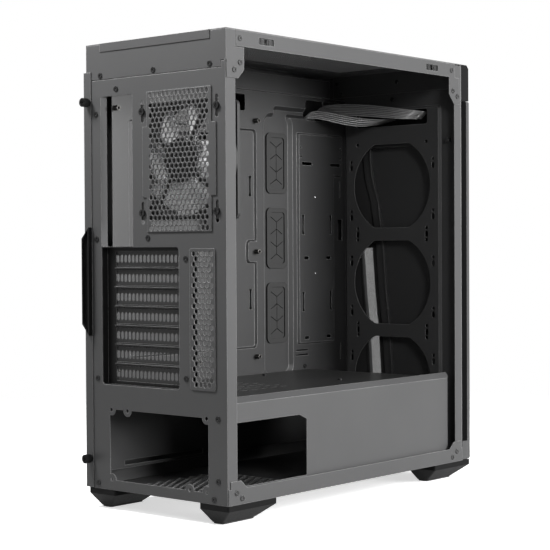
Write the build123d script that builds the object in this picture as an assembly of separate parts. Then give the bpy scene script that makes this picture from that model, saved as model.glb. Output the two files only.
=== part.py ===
from build123d import *
import os
from math import atan2, cos, degrees, pi, radians, sin, sqrt, tan

# A mid-tower computer case with its left side open, in millimetres.
# +Z is up, the front faces -Y and the open side faces -X. The feet stand on Z = 0.
# "across" is measured from the left face, "forward" from the rear face, "down" from the top.

# Steel frame
SHEET = 1.0
SEAM = 0.8
POST_WIDTH = 14.5
TOP_RAIL_HEIGHT = 18.0
SIDE_SILL_HEIGHT = 30.0
FLOOR_RAIL_HEIGHT = 16.0
RAIL_LIP = 8.0
STRIP_HEIGHT = 39.0
STRIP_STEP_WIDTH = 7.5
STRIP_STEP_HEIGHT = 6.5
GUSSET_REACH = 27.0
GUSSET_HEIGHT = 32.0
GUSSET_CUT = 9.0
FLOOR_GUSSET_HEIGHT = 24.0
CLIP_SLOT_LENGTH = 24.0
CLIP_SLOT_HEIGHT = 7.0
CLIP_INSET = 46.5

# Top panel and its magnetic filter
FILTER_THICKNESS = 1.0
FILTER_INSET = 6.0
FILTER_RIM = 34.0
TOP_VENT_INSET = 44.0
TOP_VENT_END = 32.0
TOP_TAB_INSET = 22.0
TOP_TAB_HEIGHT = 10.0
TOP_TAB_THICKNESS = 0.8
FAN_SLOT_LENGTH = 26.0
FAN_SLOT_WIDTH = 4.4
FILTER_GAP_PITCH = 13.0
FILTER_GAP = 10.5

# Board tray and the openings that line up with a board
CABLE_SPACE = 27.0
TRAY_REAR = 12.0
TRAY_TONGUE_REAR = 2.0
TRAY_TOP = 33.0
TRAY_FOOT_GAP = 19.5
PRESS_DEPTH = 2.5
PRESS_SLOPE = 40.0
STANDOFF_HEIGHT = 6.35
STANDOFF_FLATS = 5.5
STANDOFF_BORE = 3.0
BOARD_COLUMN = 16.2
BOARD_ROW = 68.5
BOARD_COLUMN_STEPS = (0.0, 124.46, 227.33)
BOARD_ROW_STEPS = (0.0, 154.94, 279.4)
BOARD_FIELD_MARGIN = 10.0
BOARD_SKIRT = 2.0
CHANNEL_GAP = 13.0
CHANNEL_WIDTH = 54.0
CHANNEL_TOP = 57.0
CHANNEL_DEPTH = 4.0
CHANNEL_SLOPE = 50.0
CHANNEL_CORNER = 14.0
BRANCH_TOP = 48.0
BRANCH_HEIGHT = 13.0
GROMMET_WIDTH = 38.0
GROMMET_HEIGHT = 73.0
GROMMET_LAP = 3.0
GROMMET_LIP = 2.0
GROMMET_FIRST = 117.0
GROMMET_PITCH = 90.2
GROMMET_COUNT = 3
GROMMET_SLIT = 0.8
GROMMET_GROUP = 15.0
GROMMET_STEM = 4.3
GROMMET_ARM_REACH = 11.0
GROMMET_ARM_RISE = 6.2
DRIVE_FIELD_GAP = 7.5
DRIVE_FIELD_LENGTH = 89.0
DRIVE_FIELD_FRONT = 9.0
DRIVE_FIELD_TOP = 78.0
DRIVE_FIELD_RISE = 31.0
DRIVE_FIELD_STEP = 17.0
DRIVE_FIELD_STEP_DROP = 52.0
DRIVE_SLOT_LENGTH = 20.0
DRIVE_SHORT_SLOT = 9.0
DRIVE_SLOT_WIDTH = 4.0
DRIVE_PIN_HOLE = 3.0
DRIVE_PIN_INSET = 5.5
DRIVE_PIN_DROP = 17.7
DRIVE_PIN_STEP = 11.4
CABLE_HATCH_INSET = 8.0
CABLE_HATCH_LENGTH = 72.0
CABLE_HATCH_TOP = 37.0
CABLE_HATCH_HEIGHT = 25.0
COOLER_HOLE_WIDTH = 128.0
COOLER_HOLE_HEIGHT = 116.0
TIE_SLOT_HEIGHT = 24.2
TIE_SLOT_WIDTH = 3.0
TIE_SLOT_END = 5.4
TIE_SLOT_FLARE = 4.0
TIE_BAR = 5.8
TIE_GAP = 2.0
EDGE_SLOT_HEIGHT = 26.0
EDGE_SLIT_LENGTH = 20.3
BOARD_POWER_WIDTH = 54.0
BOARD_POWER_HEIGHT = 19.5
TRAY_SLOT_START = 27.0
TRAY_SLOT_LENGTH = 123.0
TRAY_SLOT_HEIGHT = 5.0
TRAY_SLOT_RISE = 3.2
TRAY_RAIL_HEIGHT = 22.0
TRAY_RAIL_SETBACK = 31.0
TRAY_RAIL_THICKNESS = 2.0

# Rear panel openings
PORT_WIDTH = 48.0
PORT_HEIGHT = 160.0
PORT_TOP = 57.7
PORT_BEYOND_TRAY = 5.0
SLOT_FIELD_WIDTH = 114.5
SLOT_PITCH = 20.32
SLOT_COUNT = 7
SLOT_MARGIN = 1.7
SLOT_RECESS = 9.0
SLOT_BAR = 4.4
SLOT_LIP_REACH = 2.4
SLOT_LIP_THICKNESS = 1.4
SLOT_END_WEB = 13.0
SLOT_SCREW_OFFSET = 9.5
COVER_HEIGHT = 18.4
COVER_THICKNESS = 0.9
COVER_HOLE_HEIGHT = 8.4
COVER_HOLE_WIDTH = 4.0
COVER_HOLE_PITCH = 5.7
FAN_SIDE_GAP = 5.2
FAN_PORT_GAP = 7.8
FAN_DOWN = 129.6
FAN_SIZE = 120.0
FAN_DEPTH = 25.0
FAN_SCREW_SQUARE = 105.0
REAR_FAN_SLOT = 23.0
GRILLE_WIDTH = 91.0
GRILLE_HEIGHT = 145.0
GRILLE_EAR_WIDTH = 103.5
GRILLE_EAR_HEIGHT = 73.0
GRILLE_PROUD = 1.2
GRILLE_LAP = 1.5
HEX_PITCH = 6.1
HEX_FLATS = 4.9
VENT_GAP = 16.0
VENT_WIDTH = 35.0
VENT_HEIGHT = 143.0
VENT_RADIUS = 3.0
PSU_WIDTH = 150.0
PSU_TRAY_GAP = 2.6
PSU_FLOOR_GAP = 48.5
PSU_SCREWS_ACROSS = 138.0
PSU_SCREWS_DOWN = 74.0
PSU_SCREWS_INNER = 24.0
PSU_OPENING_WIDTH = 143.0
PSU_OPENING_HEIGHT = 75.0
PSU_EAR = 6.0
PSU_HOLE = 4.0

# Front wall
FRONT_FAN_FIRST = 143.0
FRONT_FAN_PITCH = 119.5
FRONT_FAN_COUNT = 3
FRONT_OPENING_WIDTH = 116.0
FRONT_OPENING_HEIGHT = 103.5
FRONT_WIDE_SQUARE = 124.5
FRONT_FIELD_WIDTH = 145.0
FRONT_FIELD_TOP = 47.0
FRONT_PRESS = 3.0
FRONT_STRIP_DROP = 27.0
FRONT_STRIP_INSET = 9.0
SCREW_HOLE = 4.4
SLOT_BELOW_HOLE = 7.6
SLOT_LENGTH = 8.0
CABLE_SLOT_WIDTH = 108.0
CABLE_SLOT_DROP = 6.5
CABLE_SLOT_HEIGHT = 18.5

# Power supply shroud
SHROUD_INSET = 6.0
SHROUD_SLOT_GAP = 5.66
SHROUD_HEIGHT = 106.5
SHROUD_BEVEL = 6.0
SHROUD_SETBACK = 17.0
SHROUD_TOP_SETBACK = 75.0
SHROUD_CORNER = 8.0
SHROUD_RETURN = 14.0
SHROUD_FLANGE = 2.0
WINDOW_DROP = 25.6
WINDOW_END = 130.0
WINDOW_CORNER = 12.0
WINDOW_CORNER_DROP = 5.4
VENT_SLOT_LENGTH = 11.0
VENT_SLOT_WIDTH = 4.5
VENT_SLOT_PITCH = 16.0
VENT_SLOT_ROWS = 6
VENT_SLOT_INSET = 44.0
VENT_SLOT_START = 66.0

# Floor grille
FLOOR_VENT_START = 20.0
FLOOR_VENT_LENGTH = 140.0
FLOOR_VENT_WIDTH = 130.0
FLOOR_VENT_LAP = 4.0
FLOOR_HEX_PITCH = 9.5
FLOOR_HEX_FLATS = 7.2

# Rear fan
FAN_BORE = 116.5
FAN_CORNER = 6.0
FAN_HUB = 45.0
FAN_PLATE = 3.0
FAN_ARM = 5.0
FAN_ARM_TURN = 35.0
FAN_BLADES = 7
FAN_TIP = 113.0
FAN_SHAFT = 4.0
RUNNING_FIT = 0.03
FAN_BOSS = 11.0

# Feet
FOOT_HEIGHT = 22.0
FOOT_PAD = 1.5
FOOT_WIDTH = 40.0
FOOT_LENGTH = 74.0
FOOT_BAND = 6.0
FOOT_SOLE_WIDTH = 15.0
FOOT_SOLE_LENGTH = 50.0
FOOT_SOLE_ACROSS = 20.0
FOOT_SOLE_FORWARD = 13.0

# Right side panel
PANEL_GAP = 2.0
PANEL_TOP = 30.5
PANEL_FLANGE = 11.0
PANEL_RETURN = 1.6
GRIP_LENGTH = 104.0
GRIP_MID = 254.0
GRIP_PROUD = 5.0
GRIP_SLANT = 12.0
GRIP_WALL = 1.6
THUMB_INSET = 62.7
THUMB_HEAD = 9.5
THUMB_HEAD_LENGTH = 7.0
THUMB_COLLAR = 7.0
THUMB_COLLAR_LENGTH = 2.5
THUMB_SHANK = 3.6
THUMB_SHANK_LENGTH = 5.0
THUMB_RIBS = 18
THUMB_HOLE = 4.4
THUMB_POST_GAP = 0.3

# Front cover and port housing
COVER_DEPTH = 16.0
PLATE_THICKNESS = 5.5
PLATE_SIDE_GAP = 0.5
HOUSING_HEIGHT = 43.0
HOUSING_WALL = 2.0
HOUSING_CHAMFER = 4.0
DUCT_MARGIN = 5.0
COVER_JOINT = 0.6
FRAME_FOOT_HEIGHT = 22.0
FRAME_BAR = 8.0
FRAME_BAR_INSET = 14.0
FRAME_BAR_BACK = 1.5
FRAME_BAND = 16.0
RIB_WIDTH = 12.0
RIB_PROUD = 3.0
RIB_LIP = 2.0
RIB_LIP_PROUD = 1.2
INTAKE_GAP = 8.0
INTAKE_WIDTH = 17.0
INTAKE_TOP = 205.0
SIDE_RIB_INSET = 43.0
SIDE_RIB_WIDTH = 14.0
SIDE_RIB_PROUD = 2.0
SNAP_PIN = 6.0
SNAP_HOLE = 6.6
SNAP_REACH = 6.0
SNAP_INSET = 18.0
POWER_ACROSS = 160.0
RESET_ACROSS = 138.0
POWER_BUTTON = 11.0
RESET_BUTTON = 6.5
BUTTON_GAP = 0.3
BUTTON_PROUD = 0.7
BUTTON_FLANGE = 1.2
BUTTON_FLANGE_LAP = 0.9
BUTTON_STEM_GAP = 0.1
SWITCH_SIZE = 6.0
SWITCH_HEIGHT = 3.0
BUTTON_TRAVEL = 1.5
USB_ACROSS = 98.0
USB_STEP = 20.0
USB_WIDTH = 13.2
USB_DEPTH = 5.8
USB_WALL = 0.5
JACK_ACROSS = 52.0
JACK_STEP = 13.0
JACK_HOLE = 3.6
JACK_BODY = 7.0
IO_BOARD_DOWN = 14.0
IO_BOARD_THICKNESS = 1.6

# Leads
LEAD_DIAMETER = 7.0
LEAD_PLUG_HEIGHT = 10.0

# Fasteners
RIVET_HEAD = 6.0
RIVET_PROUD = 0.8
SCREW_HEAD = 7.4
SCREW_HEAD_HEIGHT = 2.2
SCREW_SHANK = 3.6

# Positions across the case, from the left face
FAN_ACROSS = FAN_SIDE_GAP + FAN_SIZE / 2
PORT_NEAR = FAN_ACROSS + FAN_SIZE / 2 + FAN_PORT_GAP
PORT_FAR = PORT_NEAR + PORT_WIDTH
TRAY = PORT_FAR - PORT_BEYOND_TRAY
SHROUD_SHOULDER = SHROUD_INSET + SHROUD_BEVEL
CASE_WIDTH = TRAY + CABLE_SPACE
RIGHT = CASE_WIDTH - SHEET
SLOT_NEAR = PORT_FAR - SLOT_FIELD_WIDTH
SLOT_SCREW_ACROSS = SLOT_NEAR - SLOT_SCREW_OFFSET
VENT_ACROSS = SLOT_NEAR - VENT_GAP - VENT_WIDTH / 2
PSU_ACROSS = TRAY - PSU_TRAY_GAP - PSU_WIDTH / 2
FRONT_FAN_ACROSS = CASE_WIDTH / 2
CABLE_SLOT_START = (CASE_WIDTH - CABLE_SLOT_WIDTH) / 2
PANEL_FACE = CASE_WIDTH + PANEL_GAP
THUMB_ACROSS = RIGHT - SHEET - THUMB_POST_GAP - THUMB_HOLE / 2

# Positions along the case, from the rear face
BOARD_END = BOARD_COLUMN + BOARD_COLUMN_STEPS[-1] + BOARD_SKIRT
CHANNEL_START = BOARD_END + CHANNEL_GAP
DRIVE_FIELD_START = CHANNEL_START + CHANNEL_WIDTH + DRIVE_FIELD_GAP
DRIVE_FIELD_END = DRIVE_FIELD_START + DRIVE_FIELD_LENGTH
CASE_DEPTH = DRIVE_FIELD_END + DRIVE_FIELD_FRONT
WALL_REAR = CASE_DEPTH - SHEET
CABLE_HATCH_START = WALL_REAR - CABLE_HATCH_INSET - CABLE_HATCH_LENGTH
SHROUD_END = WALL_REAR - SHROUD_SETBACK
SHROUD_TOP_END = WALL_REAR - SHROUD_TOP_SETBACK
COVER_FRONT = CASE_DEPTH + COVER_DEPTH
PLATE_REAR = COVER_FRONT - PLATE_THICKNESS
BUTTON_LINE = (CASE_DEPTH + COVER_FRONT - HOUSING_WALL) / 2

# Positions down the case, from the top of the filter
TOP_SHEET = FILTER_THICKNESS
FRAME_TOP = TOP_SHEET + SHEET
SLOT_TOP = PORT_TOP + PORT_HEIGHT
SLOT_BOTTOM = SLOT_TOP + SLOT_COUNT * SLOT_PITCH + 2 * SLOT_MARGIN
SHROUD_TOP = SLOT_BOTTOM + SHROUD_SLOT_GAP
CASE_HEIGHT = SHROUD_TOP + SHROUD_HEIGHT
FLOOR = CASE_HEIGHT - SHEET
WINDOW_TOP = SHROUD_TOP + WINDOW_DROP
PSU_DOWN = CASE_HEIGHT - PSU_FLOOR_GAP
TRAY_BOTTOM = CASE_HEIGHT - TRAY_FOOT_GAP
HOUSING_TOP = TOP_SHEET
HOUSING_BOTTOM = HOUSING_TOP + HOUSING_HEIGHT
CABLE_SLOT_TOP = HOUSING_BOTTOM + CABLE_SLOT_DROP
DUCT_BOTTOM = CABLE_SLOT_TOP + CABLE_SLOT_HEIGHT + DUCT_MARGIN
SWITCH_TOP = IO_BOARD_DOWN - SWITCH_HEIGHT
THUMB_DOWNS = (THUMB_INSET, CASE_HEIGHT - THUMB_INSET / 2)

# Datums of the case in its own frame
LEFT_PROUD = RIVET_PROUD
RIGHT_PROUD = PANEL_GAP + SHEET
REAR_PROUD = SHEET + THUMB_COLLAR_LENGTH + THUMB_HEAD_LENGTH
X_LEFT = (LEFT_PROUD - CASE_WIDTH - RIGHT_PROUD) / 2
Y_REAR = (CASE_DEPTH + COVER_DEPTH - REAR_PROUD) / 2
Z_TOP = FOOT_HEIGHT + CASE_HEIGHT
CORNER = (X_LEFT, Y_REAR, Z_TOP)
REAR_FACE = Plane(CORNER, x_dir=(1, 0, 0), z_dir=(0, 1, 0))
SIDE_FACE = Plane(CORNER, x_dir=(0, -1, 0), z_dir=(1, 0, 0))
TOP_FACE = Plane(CORNER, x_dir=(1, 0, 0), z_dir=(0, 0, -1))


def span(x0, x1, y0, y1, radius=0.0):
    """A flat rectangle between two corners, with rounded corners if asked."""
    if radius:
        shape = RectangleRounded(x1 - x0, y1 - y0, radius)
    else:
        shape = Rectangle(x1 - x0, y1 - y0)
    return Pos((x0 + x1) / 2, (y0 + y1) / 2) * shape


def around(x, y, width, height, radius=0.0):
    """A flat rectangle about its centre."""
    return span(x - width / 2, x + width / 2, y - height / 2, y + height / 2, radius)


def upright_slot(x, y, length, width):
    return Pos(x, y) * SlotOverall(length, width, rotation=90)


def level_slot(x, y, length, width):
    return Pos(x, y) * SlotOverall(length, width)


def disc(x, y, diameter):
    return Pos(x, y) * Circle(diameter / 2)


def square(x, y, side):
    """The four corners of a square screw pattern."""
    half = side / 2
    return [(x - half, y - half), (x + half, y - half), (x - half, y + half), (x + half, y + half)]


def raised(sketch, z0, z1):
    return Pos(0, 0, z0) * extrude(sketch, amount=z1 - z0, dir=(0, 0, 1))


def upright_rear(sketch, forward_0, forward_1):
    """Plate parallel to the rear face: sketch in (across, down)."""
    return REAR_FACE * raised(sketch, -forward_1, -forward_0)


def upright_side(sketch, across_0, across_1):
    """Plate parallel to the left side: sketch in (forward, down)."""
    return SIDE_FACE * raised(sketch, across_0, across_1)


def level(sketch, down_0, down_1):
    """Plate parallel to the top: sketch in (across, forward)."""
    return TOP_FACE * raised(sketch, down_0, down_1)


def block(across, forward, down):
    return level(span(*across, *forward), *down)


def press(sheet, field, depth, toward, slope=PRESS_SLOPE):
    """Press a field of a sheet lying at local z 0 to SHEET, with sloped sides."""
    start = SHEET if toward > 0 else 0.0
    bulge = extrude(Pos(0, 0, start) * field, amount=depth, dir=(0, 0, toward), taper=slope)
    dent = Pos(0, 0, -toward * SHEET) * bulge
    return sheet + bulge - dent


def hexagon(x, y, flats):
    """Closed hexagonal wire with a corner pointing up."""
    radius = flats / sqrt(3)
    turns = [radians(30 + 60 * side) for side in range(6)]
    return Wire.make_polygon([(x + radius * cos(a), y + radius * sin(a)) for a in turns], close=True)


def hex_centres(x0, x1, y0, y1, pitch):
    """Centres of a staggered hexagonal pattern that fills a rectangle."""
    row_step = pitch * sqrt(3) / 2
    rows = int((y1 - y0) / row_step) + 1
    first_row = (y0 + y1 - (rows - 1) * row_step) / 2
    columns = int((x1 - x0) / pitch) + 1
    first = (x0 + x1 - (columns - 1) * pitch) / 2
    centres = []
    for row in range(rows):
        odd = row % 2
        for column in range(columns - odd):
            centres.append((first + (column + odd / 2) * pitch, first_row + row * row_step))
    return centres


def perforated(outline, centres, flats):
    """The outline as one face with a hexagonal hole at each centre."""
    holes = [hexagon(x, y, flats) for x, y in centres]
    return Face(outline.face().outer_wire(), holes)


def slot_down(index):
    return SLOT_TOP + SLOT_MARGIN + (index + 0.5) * SLOT_PITCH


def grille_outline(grow=0.0):
    body = around(FAN_ACROSS, FAN_DOWN, GRILLE_WIDTH + 2 * grow, GRILLE_HEIGHT + 2 * grow)
    ears = around(FAN_ACROSS, FAN_DOWN, GRILLE_EAR_WIDTH + 2 * grow, GRILLE_EAR_HEIGHT + 2 * grow)
    return body + ears


def vent_outline(grow=0.0):
    middle = (SLOT_TOP + SLOT_BOTTOM) / 2
    return around(VENT_ACROSS, middle, VENT_WIDTH + 2 * grow, VENT_HEIGHT + 2 * grow, VENT_RADIUS + grow)


def psu_screws():
    """Screw places for a power supply either way up: four corners and two inner alternates."""
    left = PSU_ACROSS - PSU_SCREWS_ACROSS / 2
    right = PSU_ACROSS + PSU_SCREWS_ACROSS / 2
    top = PSU_DOWN - PSU_SCREWS_DOWN / 2
    bottom = PSU_DOWN + PSU_SCREWS_DOWN / 2
    corners = [(left, top), (right, top), (left, bottom), (right, bottom)]
    return corners + [(right - PSU_SCREWS_INNER, top), (left + PSU_SCREWS_INNER, bottom)]


def psu_opening():
    shape = around(PSU_ACROSS, PSU_DOWN, PSU_OPENING_WIDTH, PSU_OPENING_HEIGHT, 1.5)
    for x, y in psu_screws():
        shape -= disc(x, y, 2 * PSU_EAR)
    for x, y in psu_screws():
        shape += disc(x, y, PSU_HOLE)
    return shape


def port_opening():
    ports = span(PORT_NEAR, PORT_FAR, PORT_TOP, SLOT_TOP + SHEET, 1.0)
    slots = span(SLOT_NEAR, PORT_FAR, SLOT_TOP, SLOT_BOTTOM, 4.0)
    return ports + slots + span(PORT_FAR - 8.0, PORT_FAR, SLOT_TOP - 8.0, SLOT_TOP + 8.0)


def rear_panel():
    """Rear sheet with its openings and the two posts bent forward from its edges."""
    post_top = STRIP_HEIGHT - STRIP_STEP_HEIGHT
    sheet_top = STRIP_HEIGHT + SEAM
    sheet = span(SHEET, RIGHT, sheet_top, CASE_HEIGHT)
    sheet += span(SHEET, STRIP_STEP_WIDTH - SEAM, post_top + SEAM, sheet_top + SEAM)
    sheet -= port_opening() + psu_opening()
    sheet -= grille_outline(-GRILLE_LAP) + vent_outline(-GRILLE_LAP)
    for x, y in square(FAN_ACROSS, FAN_DOWN, FAN_SCREW_SQUARE):
        sheet -= upright_slot(x, y, REAR_FAN_SLOT, FAN_SLOT_WIDTH)
    for down in THUMB_DOWNS:
        sheet -= disc(THUMB_ACROSS, down, THUMB_HOLE)
    post = span(0, POST_WIDTH, post_top, FLOOR)
    far_post = span(0, POST_WIDTH, STRIP_HEIGHT, FLOOR)
    panel = upright_rear(sheet, 0, SHEET)
    panel += upright_side(post, SHEET, 2 * SHEET)
    panel += upright_side(far_post, RIGHT - SHEET, RIGHT)
    panel += block((PORT_FAR, PORT_FAR + SHEET), (0, SLOT_RECESS), (PORT_TOP, SLOT_TOP - SHEET))
    return panel


def rear_fan_grille():
    """Raised field over the fan, perforated with hexagons."""
    reach = (GRILLE_WIDTH - HEX_PITCH) / 2
    rise = (GRILLE_HEIGHT - HEX_PITCH) / 2
    columns = (FAN_ACROSS - reach, FAN_ACROSS + reach)
    centres = hex_centres(*columns, FAN_DOWN - rise, FAN_DOWN + rise, HEX_PITCH)
    return upright_rear(perforated(grille_outline(), centres, HEX_FLATS), -GRILLE_PROUD, 0)


def rear_vent_grille():
    """Raised column of hexagons beside the slots."""
    reach = (VENT_WIDTH - HEX_PITCH) / 2
    rise = (VENT_HEIGHT - HEX_PITCH) / 2
    middle = (SLOT_TOP + SLOT_BOTTOM) / 2
    centres = hex_centres(VENT_ACROSS - reach, VENT_ACROSS + reach, middle - rise, middle + rise, HEX_PITCH)
    return upright_rear(perforated(vent_outline(), centres, HEX_FLATS), -GRILLE_PROUD, 0)


def slot_bracket():
    """Recessed frame that the slot covers close, with a lip along each bar."""
    field = span(SLOT_NEAR, PORT_FAR, SLOT_TOP, SLOT_BOTTOM)
    walls = span(SLOT_NEAR - SHEET, PORT_FAR + SHEET, SLOT_TOP - SHEET, SLOT_BOTTOM + SHEET) - field
    plate_near = SLOT_SCREW_ACROSS - SCREW_HEAD
    plate = span(plate_near, PORT_FAR + SHEET, SLOT_TOP - SHEET, SLOT_BOTTOM + SHEET)
    opening_far = PORT_FAR - SLOT_END_WEB
    opening_height = SLOT_PITCH - SLOT_BAR
    for index in range(SLOT_COUNT):
        down = slot_down(index)
        plate -= span(SLOT_NEAR, opening_far, down - opening_height / 2, down + opening_height / 2)
        plate -= disc(SLOT_SCREW_ACROSS, down, SCREW_SHANK + 0.6)
    bracket = upright_rear(walls, SHEET, SLOT_RECESS) + upright_rear(plate, SLOT_RECESS, SLOT_RECESS + SHEET)
    for index in range(1, SLOT_COUNT):
        bar = slot_down(index) - SLOT_PITCH / 2
        lip_down = (bar - SLOT_LIP_THICKNESS / 2, bar + SLOT_LIP_THICKNESS / 2)
        bracket += block((SLOT_NEAR, opening_far), (SLOT_RECESS - SLOT_LIP_REACH, SLOT_RECESS), lip_down)
    return bracket


def slot_cover(index):
    """One blank slot cover with a row of tall rounded holes."""
    down = slot_down(index)
    near = SLOT_SCREW_ACROSS - SCREW_HEAD / 2
    far = PORT_FAR - SLOT_END_WEB + 3.0
    shape = span(near, far, down - COVER_HEIGHT / 2, down + COVER_HEIGHT / 2, 1.0)
    shape -= disc(SLOT_SCREW_ACROSS, down, SCREW_SHANK + 0.6)
    holes = int((far - SLOT_NEAR - 2 * COVER_HOLE_WIDTH) / COVER_HOLE_PITCH) + 1
    for hole in range(holes):
        x = far - 1.2 * COVER_HOLE_WIDTH - hole * COVER_HOLE_PITCH
        shape -= upright_slot(x, down, COVER_HOLE_HEIGHT, COVER_HOLE_WIDTH)
    rear = SLOT_RECESS + SHEET
    return upright_rear(shape, rear, rear + COVER_THICKNESS)


def slot_screws():
    """Pan-head screws that hold the slot covers from inside."""
    seat = SLOT_RECESS + SHEET + COVER_THICKNESS
    screws = []
    for index in range(SLOT_COUNT):
        down = slot_down(index)
        head = upright_rear(disc(SLOT_SCREW_ACROSS, down, SCREW_HEAD), seat, seat + SCREW_HEAD_HEIGHT)
        shank = upright_rear(disc(SLOT_SCREW_ACROSS, down, SCREW_SHANK), SLOT_RECESS - 2.0, seat)
        screws.append(head + shank)
    return Compound(children=screws)


def rear_top_strip():
    """Strip across the top of the rear with corner gussets turned along both sides."""
    sheet = span(0, CASE_WIDTH, FRAME_TOP, STRIP_HEIGHT)
    sheet -= span(0, STRIP_STEP_WIDTH, STRIP_HEIGHT - STRIP_STEP_HEIGHT, STRIP_HEIGHT)
    gusset_low = TOP_RAIL_HEIGHT + GUSSET_HEIGHT
    gusset = Polygon(
        (SHEET, FRAME_TOP), (POST_WIDTH, FRAME_TOP), (POST_WIDTH, TOP_RAIL_HEIGHT + SEAM),
        (GUSSET_REACH, TOP_RAIL_HEIGHT + SEAM), (GUSSET_REACH, gusset_low - GUSSET_CUT),
        (GUSSET_REACH - GUSSET_CUT, gusset_low), (SHEET, gusset_low), align=None)
    side = span(SHEET, GUSSET_REACH, FRAME_TOP, SIDE_SILL_HEIGHT)
    strip = upright_rear(sheet, 0, SHEET)
    strip += upright_side(gusset, 0, SHEET)
    strip += upright_side(side, RIGHT, CASE_WIDTH)
    return strip


def clip_places():
    return (POST_WIDTH + CLIP_INSET, WALL_REAR - POST_WIDTH - CLIP_INSET)


def left_top_rail():
    """Rail along the open side with two clip slots and the front gusset."""
    front = WALL_REAR - POST_WIDTH + 1.0
    gusset_low = TOP_RAIL_HEIGHT + GUSSET_HEIGHT
    rear = POST_WIDTH + SEAM
    rail = span(rear, front, FRAME_TOP, TOP_RAIL_HEIGHT)
    rail += Polygon(
        (front - GUSSET_CUT - 3.0, TOP_RAIL_HEIGHT), (front + GUSSET_CUT, TOP_RAIL_HEIGHT),
        (front + GUSSET_CUT, gusset_low), (front - 1.0, gusset_low),
        (front - GUSSET_CUT - 3.0, gusset_low - GUSSET_CUT - 3.0), align=None)
    mid = (FRAME_TOP + TOP_RAIL_HEIGHT) / 2
    for forward in clip_places():
        rail -= around(forward, mid, CLIP_SLOT_LENGTH, CLIP_SLOT_HEIGHT, 1.5)
    lip = block((SHEET, RAIL_LIP), (rear, front), (FRAME_TOP, FRAME_TOP + SHEET))
    return upright_side(rail, 0, SHEET) + lip


def right_top_rail():
    """Sill along the closed side, above the side panel."""
    rail = span(GUSSET_REACH, WALL_REAR, FRAME_TOP, SIDE_SILL_HEIGHT)
    lip = block((RIGHT - RAIL_LIP, RIGHT), (GUSSET_REACH, WALL_REAR), (FRAME_TOP, FRAME_TOP + SHEET))
    return upright_side(rail, RIGHT, CASE_WIDTH) + lip


def side_clips():
    """Pressed spring clips that sit in the slots of the left rail."""
    mid = (FRAME_TOP + TOP_RAIL_HEIGHT) / 2
    clips = []
    for forward in clip_places():
        plate = around(forward, mid, CLIP_SLOT_LENGTH + 6.0, CLIP_SLOT_HEIGHT + 3.0, 1.5)
        plate -= around(forward, mid, CLIP_SLOT_LENGTH / 6, CLIP_SLOT_HEIGHT - 1.5)
        clip = upright_side(plate, SHEET, 2 * SHEET)
        for side in (-1, 1):
            rib_mid = forward + side * CLIP_SLOT_LENGTH / 4
            rib = around(rib_mid, mid, CLIP_SLOT_LENGTH / 8, CLIP_SLOT_HEIGHT - 1.5)
            clip += upright_side(rib, SHEET / 2, SHEET)
        clips.append(clip)
    return Compound(children=clips)


def top_panel():
    """Top sheet with the vent opening, fan slots beside it and a tab down over the rear strip."""
    sheet = span(0, CASE_WIDTH, 0, CASE_DEPTH)
    sheet -= span(TOP_VENT_INSET, CASE_WIDTH - TOP_VENT_INSET, TOP_VENT_END, CASE_DEPTH - TOP_VENT_END, 4.0)
    slots = int((CASE_DEPTH - 2 * TOP_VENT_END) / (2 * FAN_SLOT_LENGTH))
    step = (CASE_DEPTH - 2 * TOP_VENT_END) / slots
    for index in range(slots):
        forward = TOP_VENT_END + (index + 0.5) * step
        inset = TOP_VENT_INSET - 2 * FAN_SLOT_WIDTH
        for across in (inset, CASE_WIDTH - inset):
            sheet -= upright_slot(across, forward, FAN_SLOT_LENGTH, FAN_SLOT_WIDTH)
    tab = span(TOP_TAB_INSET, CASE_WIDTH - TOP_TAB_INSET, TOP_SHEET, TOP_TAB_HEIGHT)
    return level(sheet, TOP_SHEET, FRAME_TOP) + upright_rear(tab, -TOP_TAB_THICKNESS, 0)


def top_filter():
    """Thin magnetic frame with a net across it, lying on the top panel."""
    outline = span(FILTER_INSET, CASE_WIDTH - FILTER_INSET, FILTER_INSET, CASE_DEPTH - FILTER_INSET, 5.0)
    inset = FILTER_INSET + FILTER_RIM
    centres = hex_centres(inset, CASE_WIDTH - inset, inset, CASE_DEPTH - inset, FILTER_GAP_PITCH)
    return level(perforated(outline, centres, FILTER_GAP), 0, FILTER_THICKNESS)


def floor_vent_span(lap=0.0):
    left = PSU_ACROSS - FLOOR_VENT_WIDTH / 2 - lap
    right = PSU_ACROSS + FLOOR_VENT_WIDTH / 2 + lap
    return (left, right, FLOOR_VENT_START - lap, FLOOR_VENT_START + FLOOR_VENT_LENGTH + lap)


def floor_pan():
    """Floor sheet with a grille opening."""
    sheet = span(SHEET, RIGHT, SHEET, WALL_REAR) - span(*floor_vent_span(), 4.0)
    return level(sheet, FLOOR, CASE_HEIGHT)


def floor_rails():
    """Rails up both edges of the floor, with gussets at the ends of the open side."""
    rail_top = CASE_HEIGHT - FLOOR_RAIL_HEIGHT
    gusset_top = CASE_HEIGHT - FLOOR_GUSSET_HEIGHT
    rail = span(SHEET, WALL_REAR, rail_top, CASE_HEIGHT)
    near_rail = upright_side(rail, 0, SHEET)
    far_rail = upright_side(rail, RIGHT, CASE_WIDTH)
    for end, inward in ((SHEET, 1), (WALL_REAR, -1)):
        near = end + inward * 3.0
        far = end + inward * GUSSET_REACH
        gusset = Polygon(
            (near, rail_top + SHEET), (near, gusset_top), (far - inward * GUSSET_CUT, gusset_top),
            (far, rail_top), (far, rail_top + SHEET), align=None)
        near_rail += upright_side(gusset, 0, SHEET)
    return Compound(children=[near_rail, far_rail])


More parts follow.
